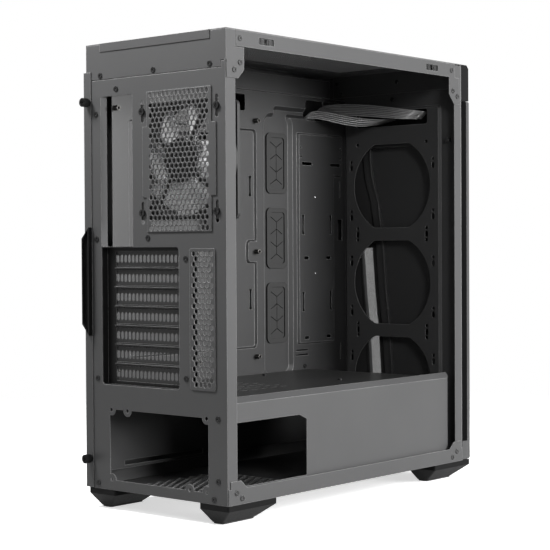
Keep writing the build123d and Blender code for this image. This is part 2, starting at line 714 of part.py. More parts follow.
def floor_vent():
    """Perforated plate over the floor opening."""
    outline = span(*floor_vent_span(FLOOR_VENT_LAP), 4.0)
    x0, x1, y0, y1 = floor_vent_span(-FLOOR_HEX_PITCH / 2)
    centres = hex_centres(x0, x1, y0, y1, FLOOR_HEX_PITCH)
    return level(perforated(outline, centres, FLOOR_HEX_FLATS), FLOOR - SHEET, FLOOR)


def front_fan_downs():
    return [FRONT_FAN_FIRST + index * FRONT_FAN_PITCH for index in range(FRONT_FAN_COUNT)]


def snap_places():
    low = CASE_HEIGHT - FRAME_FOOT_HEIGHT / 2
    high = DUCT_BOTTOM + FRAME_BAND
    return [(x, y) for x in (SNAP_INSET, CASE_WIDTH - SNAP_INSET) for y in (high, low)]


def front_wall():
    """Front sheet pressed towards the inside, with fan openings and a cable slot."""
    outline = span(SHEET, RIGHT, FRAME_TOP, FLOOR)
    half = FRONT_FIELD_WIDTH / 2
    field = span(FRONT_FAN_ACROSS - half, FRONT_FAN_ACROSS + half, FRONT_FIELD_TOP, FLOOR - RAIL_LIP, 5.0)
    sheet = press(raised(outline, 0, SHEET), field, FRONT_PRESS, 1)
    holes = span(CABLE_SLOT_START, CABLE_SLOT_START + CABLE_SLOT_WIDTH,
                 CABLE_SLOT_TOP, CABLE_SLOT_TOP + CABLE_SLOT_HEIGHT, 3.0)
    for down in front_fan_downs():
        flats = around(FRONT_FAN_ACROSS, down, FRONT_OPENING_WIDTH, FRONT_OPENING_HEIGHT)
        holes += disc(FRONT_FAN_ACROSS, down, FRONT_OPENING_WIDTH) & flats
        for x, y in square(FRONT_FAN_ACROSS, down, FAN_SCREW_SQUARE):
            holes += disc(x, y, SCREW_HOLE)
            if y > down:
                holes += upright_slot(x, y + SLOT_BELOW_HOLE, SLOT_LENGTH, SCREW_HOLE)
        for side in (-1, 1):
            x = FRONT_FAN_ACROSS + side * FRONT_WIDE_SQUARE / 2
            for rise in (-1, 1):
                y = down + rise * FRONT_WIDE_SQUARE / 4
                holes += disc(x, y, SCREW_HOLE)
                holes += upright_slot(x, y + SLOT_BELOW_HOLE, SLOT_LENGTH, SCREW_HOLE)
    for x, y in snap_places():
        holes += disc(x, y, SNAP_HOLE)
    sheet -= raised(holes, -SHEET, FRONT_PRESS + 3 * SHEET)
    return REAR_FACE * (Pos(0, 0, -CASE_DEPTH) * sheet)


def front_posts():
    """Uprights that stand back from both edges of the front wall."""
    post = span(WALL_REAR - POST_WIDTH + SHEET, WALL_REAR, FRAME_TOP + SHEET, FLOOR)
    near = upright_side(post, SHEET, 2 * SHEET)
    far = upright_side(post, RIGHT - SHEET, RIGHT)
    return Compound(children=[near, far])


def front_top_strip():
    """Stiffening strip along the top of the front wall, on its inner face."""
    shape = span(FRONT_STRIP_INSET, CASE_WIDTH - FRONT_STRIP_INSET, FRAME_TOP, FRAME_TOP + FRONT_STRIP_DROP)
    return upright_rear(shape, WALL_REAR - SHEET, WALL_REAR)


def board_places():
    places = []
    for column in BOARD_COLUMN_STEPS:
        for row in BOARD_ROW_STEPS:
            places.append((BOARD_COLUMN + column, BOARD_ROW + row))
    return places


def grommet_downs():
    return [GROMMET_FIRST + index * GROMMET_PITCH for index in range(GROMMET_COUNT)]


def motherboard_tray():
    """Upright tray pressed into fields: sunk behind the board, sunk cable channel, raised drive field."""
    first = BOARD_COLUMN + BOARD_COLUMN_STEPS[0] + 2 * BOARD_FIELD_MARGIN
    last = BOARD_END
    high = BOARD_ROW + BOARD_ROW_STEPS[0] + BOARD_FIELD_MARGIN
    low = BOARD_ROW + BOARD_ROW_STEPS[-1] - BOARD_FIELD_MARGIN
    mid_row = BOARD_ROW + BOARD_ROW_STEPS[1]
    board_field = span(first, last, high, low, 6.0)
    board_field -= span(last - 15.0, last + 5.0, mid_row - 12.0, mid_row + 12.0, 4.0)
    board_field -= disc(BOARD_COLUMN + BOARD_COLUMN_STEPS[1], mid_row, 24.0)
    channel_end = CHANNEL_START + CHANNEL_WIDTH
    channel = span(CHANNEL_START, channel_end, CHANNEL_TOP, SHROUD_TOP + 6.0, CHANNEL_CORNER)
    branch_start = CHANNEL_START + CHANNEL_WIDTH / 3
    channel += span(branch_start, CABLE_HATCH_START + 5.0, BRANCH_TOP, BRANCH_TOP + BRANCH_HEIGHT, 5.0)
    drive_step = DRIVE_FIELD_TOP + DRIVE_FIELD_STEP_DROP
    drive_low = SHROUD_TOP - DRIVE_FIELD_RISE
    drive_field = span(DRIVE_FIELD_START, DRIVE_FIELD_END, DRIVE_FIELD_TOP, drive_step, 3.0)
    drive_narrow = DRIVE_FIELD_END - DRIVE_FIELD_STEP
    drive_field += span(DRIVE_FIELD_START, drive_narrow, DRIVE_FIELD_TOP, drive_low, 3.0)
    outline = span(TRAY_REAR, WALL_REAR, TRAY_TOP, TRAY_BOTTOM)
    outline += span(TRAY_TONGUE_REAR, TRAY_REAR + SHEET, SLOT_BOTTOM + 3 * SHEET, TRAY_BOTTOM)
    sheet = press(raised(outline, 0, SHEET), board_field, PRESS_DEPTH, 1)
    sheet = press(sheet, channel, CHANNEL_DEPTH, 1, CHANNEL_SLOPE)
    sheet = press(sheet, drive_field, PRESS_DEPTH, -1)
    sheet -= raised(tray_holes(first, high), -3 * PRESS_DEPTH, 3 * PRESS_DEPTH)
    return SIDE_FACE * (Pos(0, 0, TRAY) * sheet)


def tie_slot(x, y):
    """Upright tie slot that widens at both ends."""
    end = TIE_SLOT_HEIGHT / 2
    neck = end - TIE_SLOT_FLARE
    wide = TIE_SLOT_END / 2
    slim = TIE_SLOT_WIDTH / 2
    return Pos(x, y) * Polygon(
        (-wide, -end), (wide, -end), (slim, -neck), (slim, neck),
        (wide, end), (-wide, end), (-slim, neck), (-slim, -neck), align=None)


def tray_holes(field_start, field_top):
    """Every hole through the tray: hatches, grommet holes, tie slots and drive slots."""
    holes = span(CABLE_HATCH_START, CABLE_HATCH_START + CABLE_HATCH_LENGTH,
                 CABLE_HATCH_TOP, CABLE_HATCH_TOP + CABLE_HATCH_HEIGHT, 5.0)
    cooler_start = field_start + 22.0
    cooler_top = field_top + 8.0
    holes += span(cooler_start, cooler_start + COOLER_HOLE_WIDTH,
                  cooler_top, cooler_top + COOLER_HOLE_HEIGHT, 8.0)
    power_end = BOARD_END - BOARD_POWER_HEIGHT
    power_top = TRAY_TOP + BOARD_POWER_HEIGHT / 4
    holes += span(power_end - BOARD_POWER_WIDTH, power_end, power_top, power_top + BOARD_POWER_HEIGHT, 3.0)
    grommet_mid = CHANNEL_START + CHANNEL_WIDTH / 2
    grommet_hole = (GROMMET_WIDTH - 2 * GROMMET_LAP, GROMMET_HEIGHT - 2 * GROMMET_LAP)
    for down in grommet_downs():
        holes += around(grommet_mid, down, *grommet_hole, 5.0)
    near = DRIVE_FIELD_START + DRIVE_SHORT_SLOT
    far = DRIVE_FIELD_END - DRIVE_FIELD_STEP - DRIVE_SHORT_SLOT
    upper = DRIVE_FIELD_TOP + DRIVE_FIELD_STEP_DROP - 0.72 * DRIVE_SLOT_LENGTH
    lower = SHROUD_TOP - DRIVE_FIELD_RISE - 2 * DRIVE_SLOT_WIDTH
    middle = (upper + lower) / 2
    board_tie = BOARD_END - DRIVE_SHORT_SLOT
    ties = [(board_tie, upper + 1.25 * TIE_SLOT_HEIGHT), (board_tie, middle + 2.36 * TIE_SLOT_HEIGHT)]
    for column in (near, far):
        ties += [(column, middle - 1.33 * TIE_SLOT_HEIGHT), (column, middle + 2.58 * TIE_SLOT_HEIGHT)]
    for column, down in ties:
        holes += tie_slot(column, down)
    bar_top = lower + 1.5 * DRIVE_SLOT_WIDTH + DRIVE_SHORT_SLOT
    for down in (bar_top, bar_top + TIE_BAR):
        holes += level_slot(near, down, TIE_SLOT_HEIGHT, TIE_GAP)
    for column in (DRIVE_FIELD_START + 0.85 * DRIVE_SLOT_LENGTH, DRIVE_FIELD_END - 0.8 * DRIVE_SLOT_LENGTH):
        holes += level_slot(column, upper, DRIVE_SLOT_LENGTH, DRIVE_SLOT_WIDTH)
    for column in (near + 0.7 * DRIVE_SHORT_SLOT, far - DRIVE_SHORT_SLOT / 2):
        holes += level_slot(column, middle + DRIVE_SHORT_SLOT, DRIVE_SHORT_SLOT, DRIVE_SLOT_WIDTH)
        holes += level_slot(column, lower, DRIVE_SHORT_SLOT, DRIVE_SLOT_WIDTH)
    for column in (DRIVE_FIELD_START + DRIVE_PIN_INSET, DRIVE_FIELD_END - DRIVE_PIN_INSET):
        for step in (0, 1):
            holes += disc(column, DRIVE_FIELD_TOP + DRIVE_PIN_DROP + step * DRIVE_PIN_STEP, DRIVE_PIN_HOLE)
    edge_column = DRIVE_FIELD_END - DRIVE_SLOT_WIDTH
    holes += around(edge_column, middle - EDGE_SLOT_HEIGHT, DRIVE_SHORT_SLOT, EDGE_SLOT_HEIGHT)
    for down in (upper + 1.5 * EDGE_SLIT_LENGTH, lower + EDGE_SLIT_LENGTH):
        holes += upright_slot(edge_column, down, EDGE_SLIT_LENGTH, TIE_SLOT_WIDTH / 2)
    low_slot = TRAY_BOTTOM - TRAY_SLOT_RISE
    holes += span(TRAY_SLOT_START, TRAY_SLOT_START + TRAY_SLOT_LENGTH, low_slot - TRAY_SLOT_HEIGHT, low_slot)
    for x, y in board_places():
        holes += disc(x, y, STANDOFF_BORE)
    return holes


def tray_top_rail():
    """Folded rail above the tray that carries the top panel's inner edge."""
    ends = (TRAY_REAR, WALL_REAR - TRAY_RAIL_SETBACK)
    web_top = TRAY_TOP - TRAY_RAIL_HEIGHT
    rail = upright_side(span(*ends, web_top, TRAY_TOP - SEAM), TRAY, TRAY + TRAY_RAIL_THICKNESS)
    rail += block((TRAY, RIGHT), ends, (web_top, web_top + SHEET))
    return rail


def tray_standoffs():
    """Hexagonal threaded posts that hold a board off the tray."""
    posts = []
    for forward, down in board_places():
        shape = Pos(forward, down) * RegularPolygon(STANDOFF_FLATS / sqrt(3), 6)
        shape -= disc(forward, down, STANDOFF_BORE)
        posts.append(upright_side(shape, TRAY - STANDOFF_HEIGHT, TRAY))
    return Compound(children=posts)


def grommet(down):
    """Rubber cable grommet: a lip each side of the sheet and a slit membrane."""
    mid = CHANNEL_START + CHANNEL_WIDTH / 2
    width = GROMMET_WIDTH - 2 * GROMMET_LAP
    height = GROMMET_HEIGHT - 2 * GROMMET_LAP
    face = TRAY + CHANNEL_DEPTH
    lip = around(mid, down, GROMMET_WIDTH, GROMMET_HEIGHT, 7.0)
    plug = around(mid, down, width - 0.2, height - 0.2, 4.9)
    well = around(mid, down, width - 5.0, height - 5.0, 4.0)
    body = upright_side(lip, face - GROMMET_LIP, face)
    body += upright_side(plug, face, face + SHEET)
    body += upright_side(lip, face + SHEET, face + SHEET + GROMMET_LIP)
    body -= upright_side(well, face - GROMMET_LIP, face - 0.3 * GROMMET_LIP)
    arm_length = sqrt(GROMMET_ARM_REACH ** 2 + GROMMET_ARM_RISE ** 2)
    arm_angle = degrees(atan2(GROMMET_ARM_RISE, GROMMET_ARM_REACH))
    slits = around(mid, down, GROMMET_SLIT, 2 * (GROMMET_GROUP + GROMMET_STEM))
    for group in (-1, 1):
        for rise in (-1, 1):
            y = down + group * GROMMET_GROUP + rise * (GROMMET_STEM + GROMMET_ARM_RISE / 2)
            for lean in (-1, 1):
                arm = Pos(mid + lean * GROMMET_ARM_REACH / 2, y) * Rot(0, 0, lean * rise * arm_angle)
                slits += arm * Rectangle(arm_length, GROMMET_SLIT)
    return body - upright_side(slits, face - GROMMET_LIP, face + SHEET + GROMMET_LIP)


def shroud_profile(inset):
    """Cross-section of the shroud in (across, down), shrunk inwards by inset."""
    side = SHROUD_INSET + inset
    top = SHROUD_TOP + inset
    bevel = SHROUD_BEVEL - inset * tan(pi / 8) + inset * 0.4
    return Polygon(
        (side, FLOOR), (side, top + bevel), (side + bevel, top), (TRAY, top), (TRAY, FLOOR), align=None)


def shroud_side():
    """Side wall of the power supply bay: a sloped shoulder, a rounded front corner and a window."""
    shell = upright_rear(shroud_profile(0.0), SHEET, SHROUD_END)
    corner = shell.edges().filter_by(Axis.Z).sort_by(Axis.X)[0:2].sort_by(Axis.Y)[0]
    shell = fillet(corner, SHROUD_CORNER)
    shell -= upright_rear(shroud_profile(SHEET), 0, SHROUD_END - SHEET)
    window = Polygon(
        (0, WINDOW_TOP), (WINDOW_END - WINDOW_CORNER, WINDOW_TOP),
        (WINDOW_END, WINDOW_TOP + WINDOW_CORNER_DROP),
        (WINDOW_END, CASE_HEIGHT - FLOOR_RAIL_HEIGHT), (0, CASE_HEIGHT - FLOOR_RAIL_HEIGHT), align=None)
    shell -= upright_side(window, 0, SHROUD_INSET + 3 * SHEET)
    corner_start = SHROUD_END - 2 * SHEET
    flange = SHROUD_SHOULDER + SHROUD_FLANGE
    full_height = (SHROUD_TOP - SHEET, CASE_HEIGHT)
    shell -= block((SHROUD_SHOULDER, CASE_WIDTH), (0, SHROUD_TOP_END), full_height)
    shell -= block((flange, CASE_WIDTH), (SHROUD_TOP_END, corner_start), full_height)
    shell -= block((SHROUD_INSET + SHROUD_RETURN, CASE_WIDTH), (corner_start, CASE_DEPTH), full_height)
    return shell


def psu_shroud():
    """Top sheet over the power supply bay, between its side wall and the tray."""
    sheet = span(SHROUD_SHOULDER, TRAY, SHEET, SHROUD_TOP_END)
    vents = []
    for row in range(VENT_SLOT_ROWS):
        for column in range(VENT_SLOT_ROWS):
            across = VENT_SLOT_INSET + SHROUD_BEVEL + row * VENT_SLOT_PITCH
            forward = VENT_SLOT_START + (column + 0.5 * (row % 2)) * VENT_SLOT_PITCH
            vents.append(upright_slot(across, forward, VENT_SLOT_LENGTH, VENT_SLOT_WIDTH))
    return level(sheet - Sketch(children=vents), SHROUD_TOP, SHROUD_TOP + SHEET)


def fan_axis(part):
    """Place a piece modelled about the Z axis on the fan's axis, its Z pointing forward from the panel."""
    x = X_LEFT + FAN_ACROSS
    z = Z_TOP - FAN_DOWN
    return Pos(x, Y_REAR - SHEET, z) * Rot(90, 0, 0) * part


def fan_frame():
    """Square fan housing with the motor plate on four arms at the grille end."""
    body = RectangleRounded(FAN_SIZE, FAN_SIZE, FAN_CORNER) - Circle(FAN_BORE / 2)
    for x, y in square(0, 0, FAN_SCREW_SQUARE):
        body -= disc(x, y, SCREW_HOLE)
    frame = raised(body, 0, FAN_DEPTH)
    waist = RectangleRounded(FAN_SIZE + 2, FAN_SIZE + 2, FAN_CORNER) - Circle(FAN_BORE / 2 + 2.0)
    waist -= Rectangle(FAN_SIZE - 4.0, FAN_SIZE - 4.0)
    frame -= raised(waist, 4.0, FAN_DEPTH - 4.0)
    arms = Circle(FAN_HUB / 2)
    for turn in range(4):
        arms += Rot(0, 0, FAN_ARM_TURN + 90 * turn) * around(FAN_BORE / 4, 0, FAN_BORE / 2 + 1.0, FAN_ARM)
    frame += raised(arms, 0, FAN_PLATE)
    boss = Circle(FAN_BOSS / 2)
    frame += raised(boss, FAN_PLATE, FAN_DEPTH / 2)
    return fan_axis(frame - raised(Circle(FAN_SHAFT / 2 + RUNNING_FIT), 1.0, FAN_DEPTH))


def fan_blade(turn):
    """One pitched blade, lofted from the hub to the tip."""
    mid = FAN_PLATE + (FAN_DEPTH - FAN_PLATE) / 2
    sections = []
    for radius, chord, pitch in ((FAN_HUB / 2 - 4.0, 21.0, 52.0), (FAN_TIP / 2, 47.0, 68.0)):
        place = Plane(origin=(radius, 0, mid), x_dir=(0, 0, 1), z_dir=(1, 0, 0))
        sections.append(place * (Rot(0, 0, pitch) * RectangleRounded(chord, 1.8, 0.8)))
    return Rot(0, 0, turn) * loft(sections)


def fan_impeller():
    """Cup-shaped hub with its shaft and blades."""
    start = FAN_PLATE + 1.5
    end = FAN_DEPTH - 1.0
    hub = raised(Circle(FAN_HUB / 2), start, end)
    hub -= raised(Circle(FAN_HUB / 2 - 2.0), start, end - 2.0)
    hub += raised(Circle(FAN_SHAFT / 2), FAN_PLATE, end)
    for index in range(FAN_BLADES):
        blade = fan_blade(360.0 * index / FAN_BLADES)
        sweep_ring = Circle(FAN_TIP / 2) - Circle(FAN_HUB / 2 - 1.0)
        hub += blade & raised(sweep_ring, 0, FAN_DEPTH)
    return fan_axis(hub)


def fan_screws():
    """Four fan screws through the slots of the rear panel."""
    screws = []
    for x, y in square(FAN_ACROSS, FAN_DOWN, FAN_SCREW_SQUARE):
        head = upright_rear(disc(x, y, SCREW_HEAD), -SCREW_HEAD_HEIGHT, 0)
        head -= upright_rear(around(x, y, SCREW_HEAD * 0.6, 1.0) + around(x, y, 1.0, SCREW_HEAD * 0.6),
                             -SCREW_HEAD_HEIGHT, -SCREW_HEAD_HEIGHT / 2)
        screws.append(head + upright_rear(disc(x, y, SCREW_SHANK), 0, 6 * SHEET))
    return Compound(children=screws)


def rivet(x, y):
    """Low rivet head with a socket, standing on local z = 0."""
    head = Pos(x, y) * Cylinder(RIVET_HEAD / 2, RIVET_PROUD, align=(Align.CENTER, Align.CENTER, Align.MIN))
    socket = Pos(x, y, RIVET_PROUD / 2) * Cylinder(RIVET_HEAD / 5, RIVET_PROUD)
    return head - socket


def rear_rivets():
    """Rivet heads on the rear face."""
    strip_row = STRIP_HEIGHT - RIVET_HEAD / 2 - SHEET
    strip_columns = (TOP_TAB_INSET, CASE_WIDTH / 2, CASE_WIDTH - TOP_TAB_INSET)
    places = [(across, strip_row) for across in strip_columns]
    places += [(PORT_NEAR + PORT_WIDTH / 2, PORT_TOP - RIVET_HEAD - SHEET)]
    far_column = PORT_FAR + RIVET_HEAD + SHEET
    places += [(far_column, PORT_TOP + 3 * RIVET_HEAD), (far_column, SLOT_TOP - 1.5 * RIVET_HEAD)]
    places += [(far_column, SLOT_BOTTOM - RIVET_HEAD), (far_column, CASE_HEIGHT - RIVET_HEAD)]
    near_column = POST_WIDTH - SHEET
    places += [(near_column, PSU_DOWN - PSU_OPENING_HEIGHT / 2)]
    places += [(near_column, PSU_DOWN + PSU_OPENING_HEIGHT / 3)]
    places += [(near_column + RIVET_HEAD, CASE_HEIGHT - RIVET_HEAD + SHEET)]
    bracket_column = SLOT_NEAR - 1.6 * RIVET_HEAD
    places += [(bracket_column, SLOT_TOP + 2 * RIVET_HEAD), (bracket_column, SLOT_BOTTOM - 2 * RIVET_HEAD)]
    places += [(FAN_ACROSS + GRILLE_WIDTH / 2, FAN_DOWN + GRILLE_HEIGHT / 2 + RIVET_HEAD)]
    return Compound(children=[REAR_FACE * rivet(x, y) for x, y in places])


def side_rivets():
    """Rivet heads on the rails and gussets of the open side."""
    reach = GUSSET_REACH - RIVET_HEAD
    high = TOP_RAIL_HEIGHT + GUSSET_HEIGHT / 2
    front = WALL_REAR - POST_WIDTH
    low = CASE_HEIGHT - FLOOR_GUSSET_HEIGHT / 2
    outward = Plane(CORNER, x_dir=(0, 1, 0), z_dir=(-1, 0, 0))
    mid = (FRAME_TOP + TOP_RAIL_HEIGHT) / 2
    places = [(reach, mid), (front - RIVET_HEAD, mid)]
    places += [(reach, high), (reach - 1.4 * RIVET_HEAD, high + 1.3 * RIVET_HEAD)]
    places += [(front - RIVET_HEAD / 2, high), (front + RIVET_HEAD, high + RIVET_HEAD)]
    places += [(POST_WIDTH - 2.0, low), (POST_WIDTH + RIVET_HEAD, low + RIVET_HEAD)]
    places += [(front + RIVET_HEAD / 2, low), (front - RIVET_HEAD, low + RIVET_HEAD)]
    return Compound(children=[outward * rivet(-forward, down) for forward, down in places])


def foot(across, forward):
    """One moulded foot: an upright band, then faces sloping in to a small sole."""
    top = span(across, across + FOOT_WIDTH, forward, forward + FOOT_LENGTH, 2.0)
    sole = span(0, FOOT_SOLE_WIDTH, 0, FOOT_SOLE_LENGTH, 2.0)
    sole = Pos(across + FOOT_SOLE_ACROSS, forward + FOOT_SOLE_FORWARD) * sole
    band_end = CASE_HEIGHT + FOOT_BAND
    sole_down = CASE_HEIGHT + FOOT_HEIGHT - FOOT_PAD
    band = raised(top, CASE_HEIGHT, band_end)
    taper = loft([Pos(0, 0, band_end) * top, Pos(0, 0, sole_down) * sole])
    return TOP_FACE * (band + taper)


def foot_places():
    right = CASE_WIDTH - FOOT_WIDTH
    front = COVER_FRONT - FOOT_LENGTH - 1.0
    return {
        "rear_left": (0.0, 0.0),
        "rear_right": (right, 0.0),
        "front_left": (0.0, front),
        "front_right": (right, front),
    }


def foot_pads():
    """Thin rubber pads under the soles."""
    pads = []
    for across, forward in foot_places().values():
        x = across + FOOT_SOLE_ACROSS + FOOT_SOLE_WIDTH / 2
        y = forward + FOOT_SOLE_FORWARD + FOOT_SOLE_LENGTH / 2
        shape = around(x, y, FOOT_SOLE_WIDTH - 1.0, FOOT_SOLE_LENGTH - 1.0, 3.0)
        end = CASE_HEIGHT + FOOT_HEIGHT
        pads.append(level(shape, end - FOOT_PAD, end))
    return Compound(children=pads)


def right_side_panel():
    """Flat side panel with a flange lapped over the rear panel and short returns all round."""
    front = WALL_REAR
    bottom = CASE_HEIGHT - SHEET / 2
    outer = PANEL_FACE + SHEET
    panel = block((PANEL_FACE, outer), (-SHEET, front), (PANEL_TOP, bottom))
    panel += block((outer - PANEL_FLANGE, outer), (-SHEET, 0), (PANEL_TOP, bottom))
    panel += block((PANEL_FACE - PANEL_RETURN, outer), (-SHEET, front), (PANEL_TOP, PANEL_TOP + SHEET))
    panel += block((PANEL_FACE - PANEL_RETURN, outer), (-SHEET, front), (bottom - SHEET, bottom))
    panel += block((PANEL_FACE - PANEL_RETURN, outer), (front - SHEET, front), (PANEL_TOP, bottom))
    for down in THUMB_DOWNS:
        panel -= upright_rear(disc(THUMB_ACROSS, down, THUMB_HOLE), -2 * SHEET, SHEET)
    return panel


def side_panel_grip():
    """Hollow moulded finger grip on the rear flange, with slanted ends."""
    outer = PANEL_FACE + SHEET
    inner = outer - PANEL_FLANGE
    half = GRIP_LENGTH / 2

    def outline(shrink):
        return Polygon(
            (inner + shrink, GRIP_MID - half - GRIP_SLANT / 2 + shrink),
            (outer - shrink, GRIP_MID - half + GRIP_SLANT / 2 + shrink),
            (outer - shrink, GRIP_MID + half - GRIP_SLANT / 2 - shrink),
            (inner + shrink, GRIP_MID + half + GRIP_SLANT / 2 - shrink), align=None)

    grip = upright_rear(outline(0.0), -SHEET - GRIP_PROUD, -SHEET)
    return grip - upright_rear(outline(GRIP_WALL), -SHEET - GRIP_PROUD, -SHEET - GRIP_WALL)


def thumb_screw(down):
    """Knurled head and collar of a thumb screw, outside the panel flange."""
    collar_end = -SHEET - THUMB_COLLAR_LENGTH
    head = disc(THUMB_ACROSS, down, THUMB_HEAD)
    for rib in range(THUMB_RIBS):
        turn = 2 * pi * rib / THUMB_RIBS
        reach = THUMB_HEAD / 2
        head -= disc(THUMB_ACROSS + reach * cos(turn), down + reach * sin(turn), 0.9)
    screw = upright_rear(head, collar_end - THUMB_HEAD_LENGTH, collar_end)
    screw += upright_rear(disc(THUMB_ACROSS, down, THUMB_COLLAR), collar_end, -SHEET)
    socket = around(THUMB_ACROSS, down, THUMB_HEAD * 0.6, 1.2)
    socket += around(THUMB_ACROSS, down, 1.2, THUMB_HEAD * 0.6)
    return screw - upright_rear(socket, collar_end - THUMB_HEAD_LENGTH, collar_end - THUMB_HEAD_LENGTH + 1.5)


def thumb_shank(down):
    """Shank of a thumb screw, through the panel flange into the rear panel."""
    return upright_rear(disc(THUMB_ACROSS, down, THUMB_SHANK), -SHEET, THUMB_SHANK_LENGTH)


# Near edge of the rib that runs down the back of the front plate, as (across, down)
RIB_ROUTE = [
    (142, 95), (142, 105), (140, 124), (137, 139), (130, 162), (125, 195),
    (122, 220), (118, 273), (113.5, 313), (109.5, 370), (106.5, 430), (105.5, 446),
]


def ribbon(near, far, top):
    """Flat band beside the rib's near edge, between two distances from it and below a level."""
    route = [point for point in RIB_ROUTE if point[1] > top]
    left = [(across + near, down) for across, down in route]
    right = [(across + far, down) for across, down in reversed(route)]
    return make_face(Polyline(*left, *right, close=True))


def front_plate():
    """Front plate that stands clear of the frame, with air gaps at its sides and one long intake slot."""
    top = HOUSING_BOTTOM + COVER_JOINT
    shape = span(PLATE_SIDE_GAP, CASE_WIDTH - PLATE_SIDE_GAP, top, CASE_HEIGHT - COVER_JOINT, 2.0)
    near = RIB_WIDTH + INTAKE_GAP
    shape -= ribbon(near, near + INTAKE_WIDTH, INTAKE_TOP)
    return upright_rear(shape, PLATE_REAR, COVER_FRONT)


def front_frame():
    """Moulded frame behind the plate: foot, two uprights and a cross band, with snap pins."""
    back = CASE_DEPTH + FRAME_BAR_BACK
    low = CASE_HEIGHT - COVER_JOINT
    band_top = DUCT_BOTTOM + COVER_JOINT + FRAME_BAR / 2
    foot_top = low - FRAME_FOOT_HEIGHT
    right = CASE_WIDTH - FRAME_BAR_INSET
    bars = span(FRAME_BAR_INSET, FRAME_BAR_INSET + FRAME_BAR, band_top, foot_top + 1.0)
    bars += span(right - FRAME_BAR, right, band_top, foot_top + 1.0)
    bars += span(FRAME_BAR_INSET, right, band_top, band_top + FRAME_BAND)
    frame = upright_rear(bars, back, PLATE_REAR)
    frame += upright_rear(ribbon(0, RIB_WIDTH, 0), PLATE_REAR - RIB_PROUD, PLATE_REAR)
    lip_back = PLATE_REAR - RIB_PROUD - RIB_LIP_PROUD
    frame += upright_rear(ribbon(0, RIB_LIP, 0), lip_back, PLATE_REAR)
    side_rib = span(SIDE_RIB_INSET, SIDE_RIB_INSET + SIDE_RIB_WIDTH, INTAKE_TOP, foot_top + 1.0)
    frame += upright_rear(side_rib, PLATE_REAR - SIDE_RIB_PROUD, PLATE_REAR)
    frame += block((PLATE_SIDE_GAP, CASE_WIDTH - PLATE_SIDE_GAP), (CASE_DEPTH, PLATE_REAR), (foot_top, low))
    for x, y in snap_places():
        frame += upright_rear(disc(x, y, SNAP_PIN + 4.0), CASE_DEPTH, PLATE_REAR)
        frame += upright_rear(disc(x, y, SNAP_PIN), CASE_DEPTH - SNAP_REACH, CASE_DEPTH)
    return frame


def io_housing():
    """Moulded port housing across the top of the front, with a lead duct behind the plate."""
    outer = block((SHEET, RIGHT), (CASE_DEPTH, COVER_FRONT), (HOUSING_TOP, HOUSING_BOTTOM))
    front_edge = outer.edges().filter_by(Axis.X).sort_by(Axis.Y)[0:2].sort_by(Axis.Z)[-1]
    outer = chamfer(front_edge, HOUSING_CHAMFER)
    duct_end = CABLE_SLOT_START + CABLE_SLOT_WIDTH
    duct = block((CABLE_SLOT_START - HOUSING_WALL, duct_end + HOUSING_WALL),
                 (CASE_DEPTH, PLATE_REAR - COVER_JOINT), (HOUSING_BOTTOM, DUCT_BOTTOM))
    housing = outer + duct
    housing -= block((SHEET + HOUSING_WALL, RIGHT - HOUSING_WALL), (CASE_DEPTH, COVER_FRONT - HOUSING_WALL),
                     (HOUSING_TOP + HOUSING_WALL + HOUSING_CHAMFER / 2, HOUSING_BOTTOM - HOUSING_WALL))
    housing -= block((CABLE_SLOT_START, duct_end), (CASE_DEPTH, PLATE_REAR - COVER_JOINT - HOUSING_WALL),
                     (HOUSING_BOTTOM - 2 * HOUSING_WALL, DUCT_BOTTOM - HOUSING_WALL))
    for across, size in ((POWER_ACROSS, POWER_BUTTON), (RESET_ACROSS, RESET_BUTTON)):
        hole = disc(across, BUTTON_LINE, size + 2 * BUTTON_GAP)
        housing -= level(hole, HOUSING_TOP - SHEET, HOUSING_TOP + 3 * HOUSING_WALL)
    for across in (USB_ACROSS, USB_ACROSS - USB_STEP):
        hole = around(across, BUTTON_LINE, USB_WIDTH, USB_DEPTH)
        housing -= level(hole, HOUSING_TOP - SHEET, HOUSING_TOP + 3 * HOUSING_WALL)
    for across in (JACK_ACROSS, JACK_ACROSS - JACK_STEP):
        hole = disc(across, BUTTON_LINE, JACK_BODY)
        housing -= level(hole, HOUSING_TOP - SHEET, HOUSING_TOP + 3 * HOUSING_WALL)
    return housing


def button(across, size):
    """Push button: a cap in its hole, a flange that keeps it in and a stem over its switch."""
    top = HOUSING_TOP - BUTTON_PROUD
    ceiling = HOUSING_TOP + HOUSING_WALL + HOUSING_CHAMFER / 2
    cap = level(disc(across, BUTTON_LINE, size), top, ceiling)
    flange = disc(across, BUTTON_LINE, size + 2 * BUTTON_FLANGE_LAP)
    cap += level(flange, ceiling, ceiling + BUTTON_FLANGE)
    stem_end = SWITCH_TOP - BUTTON_TRAVEL - BUTTON_STEM_GAP
    return cap + level(disc(across, BUTTON_LINE, size / 2), ceiling + BUTTON_FLANGE, stem_end)


def io_board():
    """Circuit board under the ports with a switch below each button."""
    board = block((SHEET + HOUSING_WALL, RIGHT - HOUSING_WALL), (CASE_DEPTH, COVER_FRONT - HOUSING_WALL),
                  (IO_BOARD_DOWN, IO_BOARD_DOWN + IO_BOARD_THICKNESS))
    for across in (POWER_ACROSS, RESET_ACROSS):
        board += level(around(across, BUTTON_LINE, SWITCH_SIZE, SWITCH_SIZE), SWITCH_TOP, IO_BOARD_DOWN)
    return board


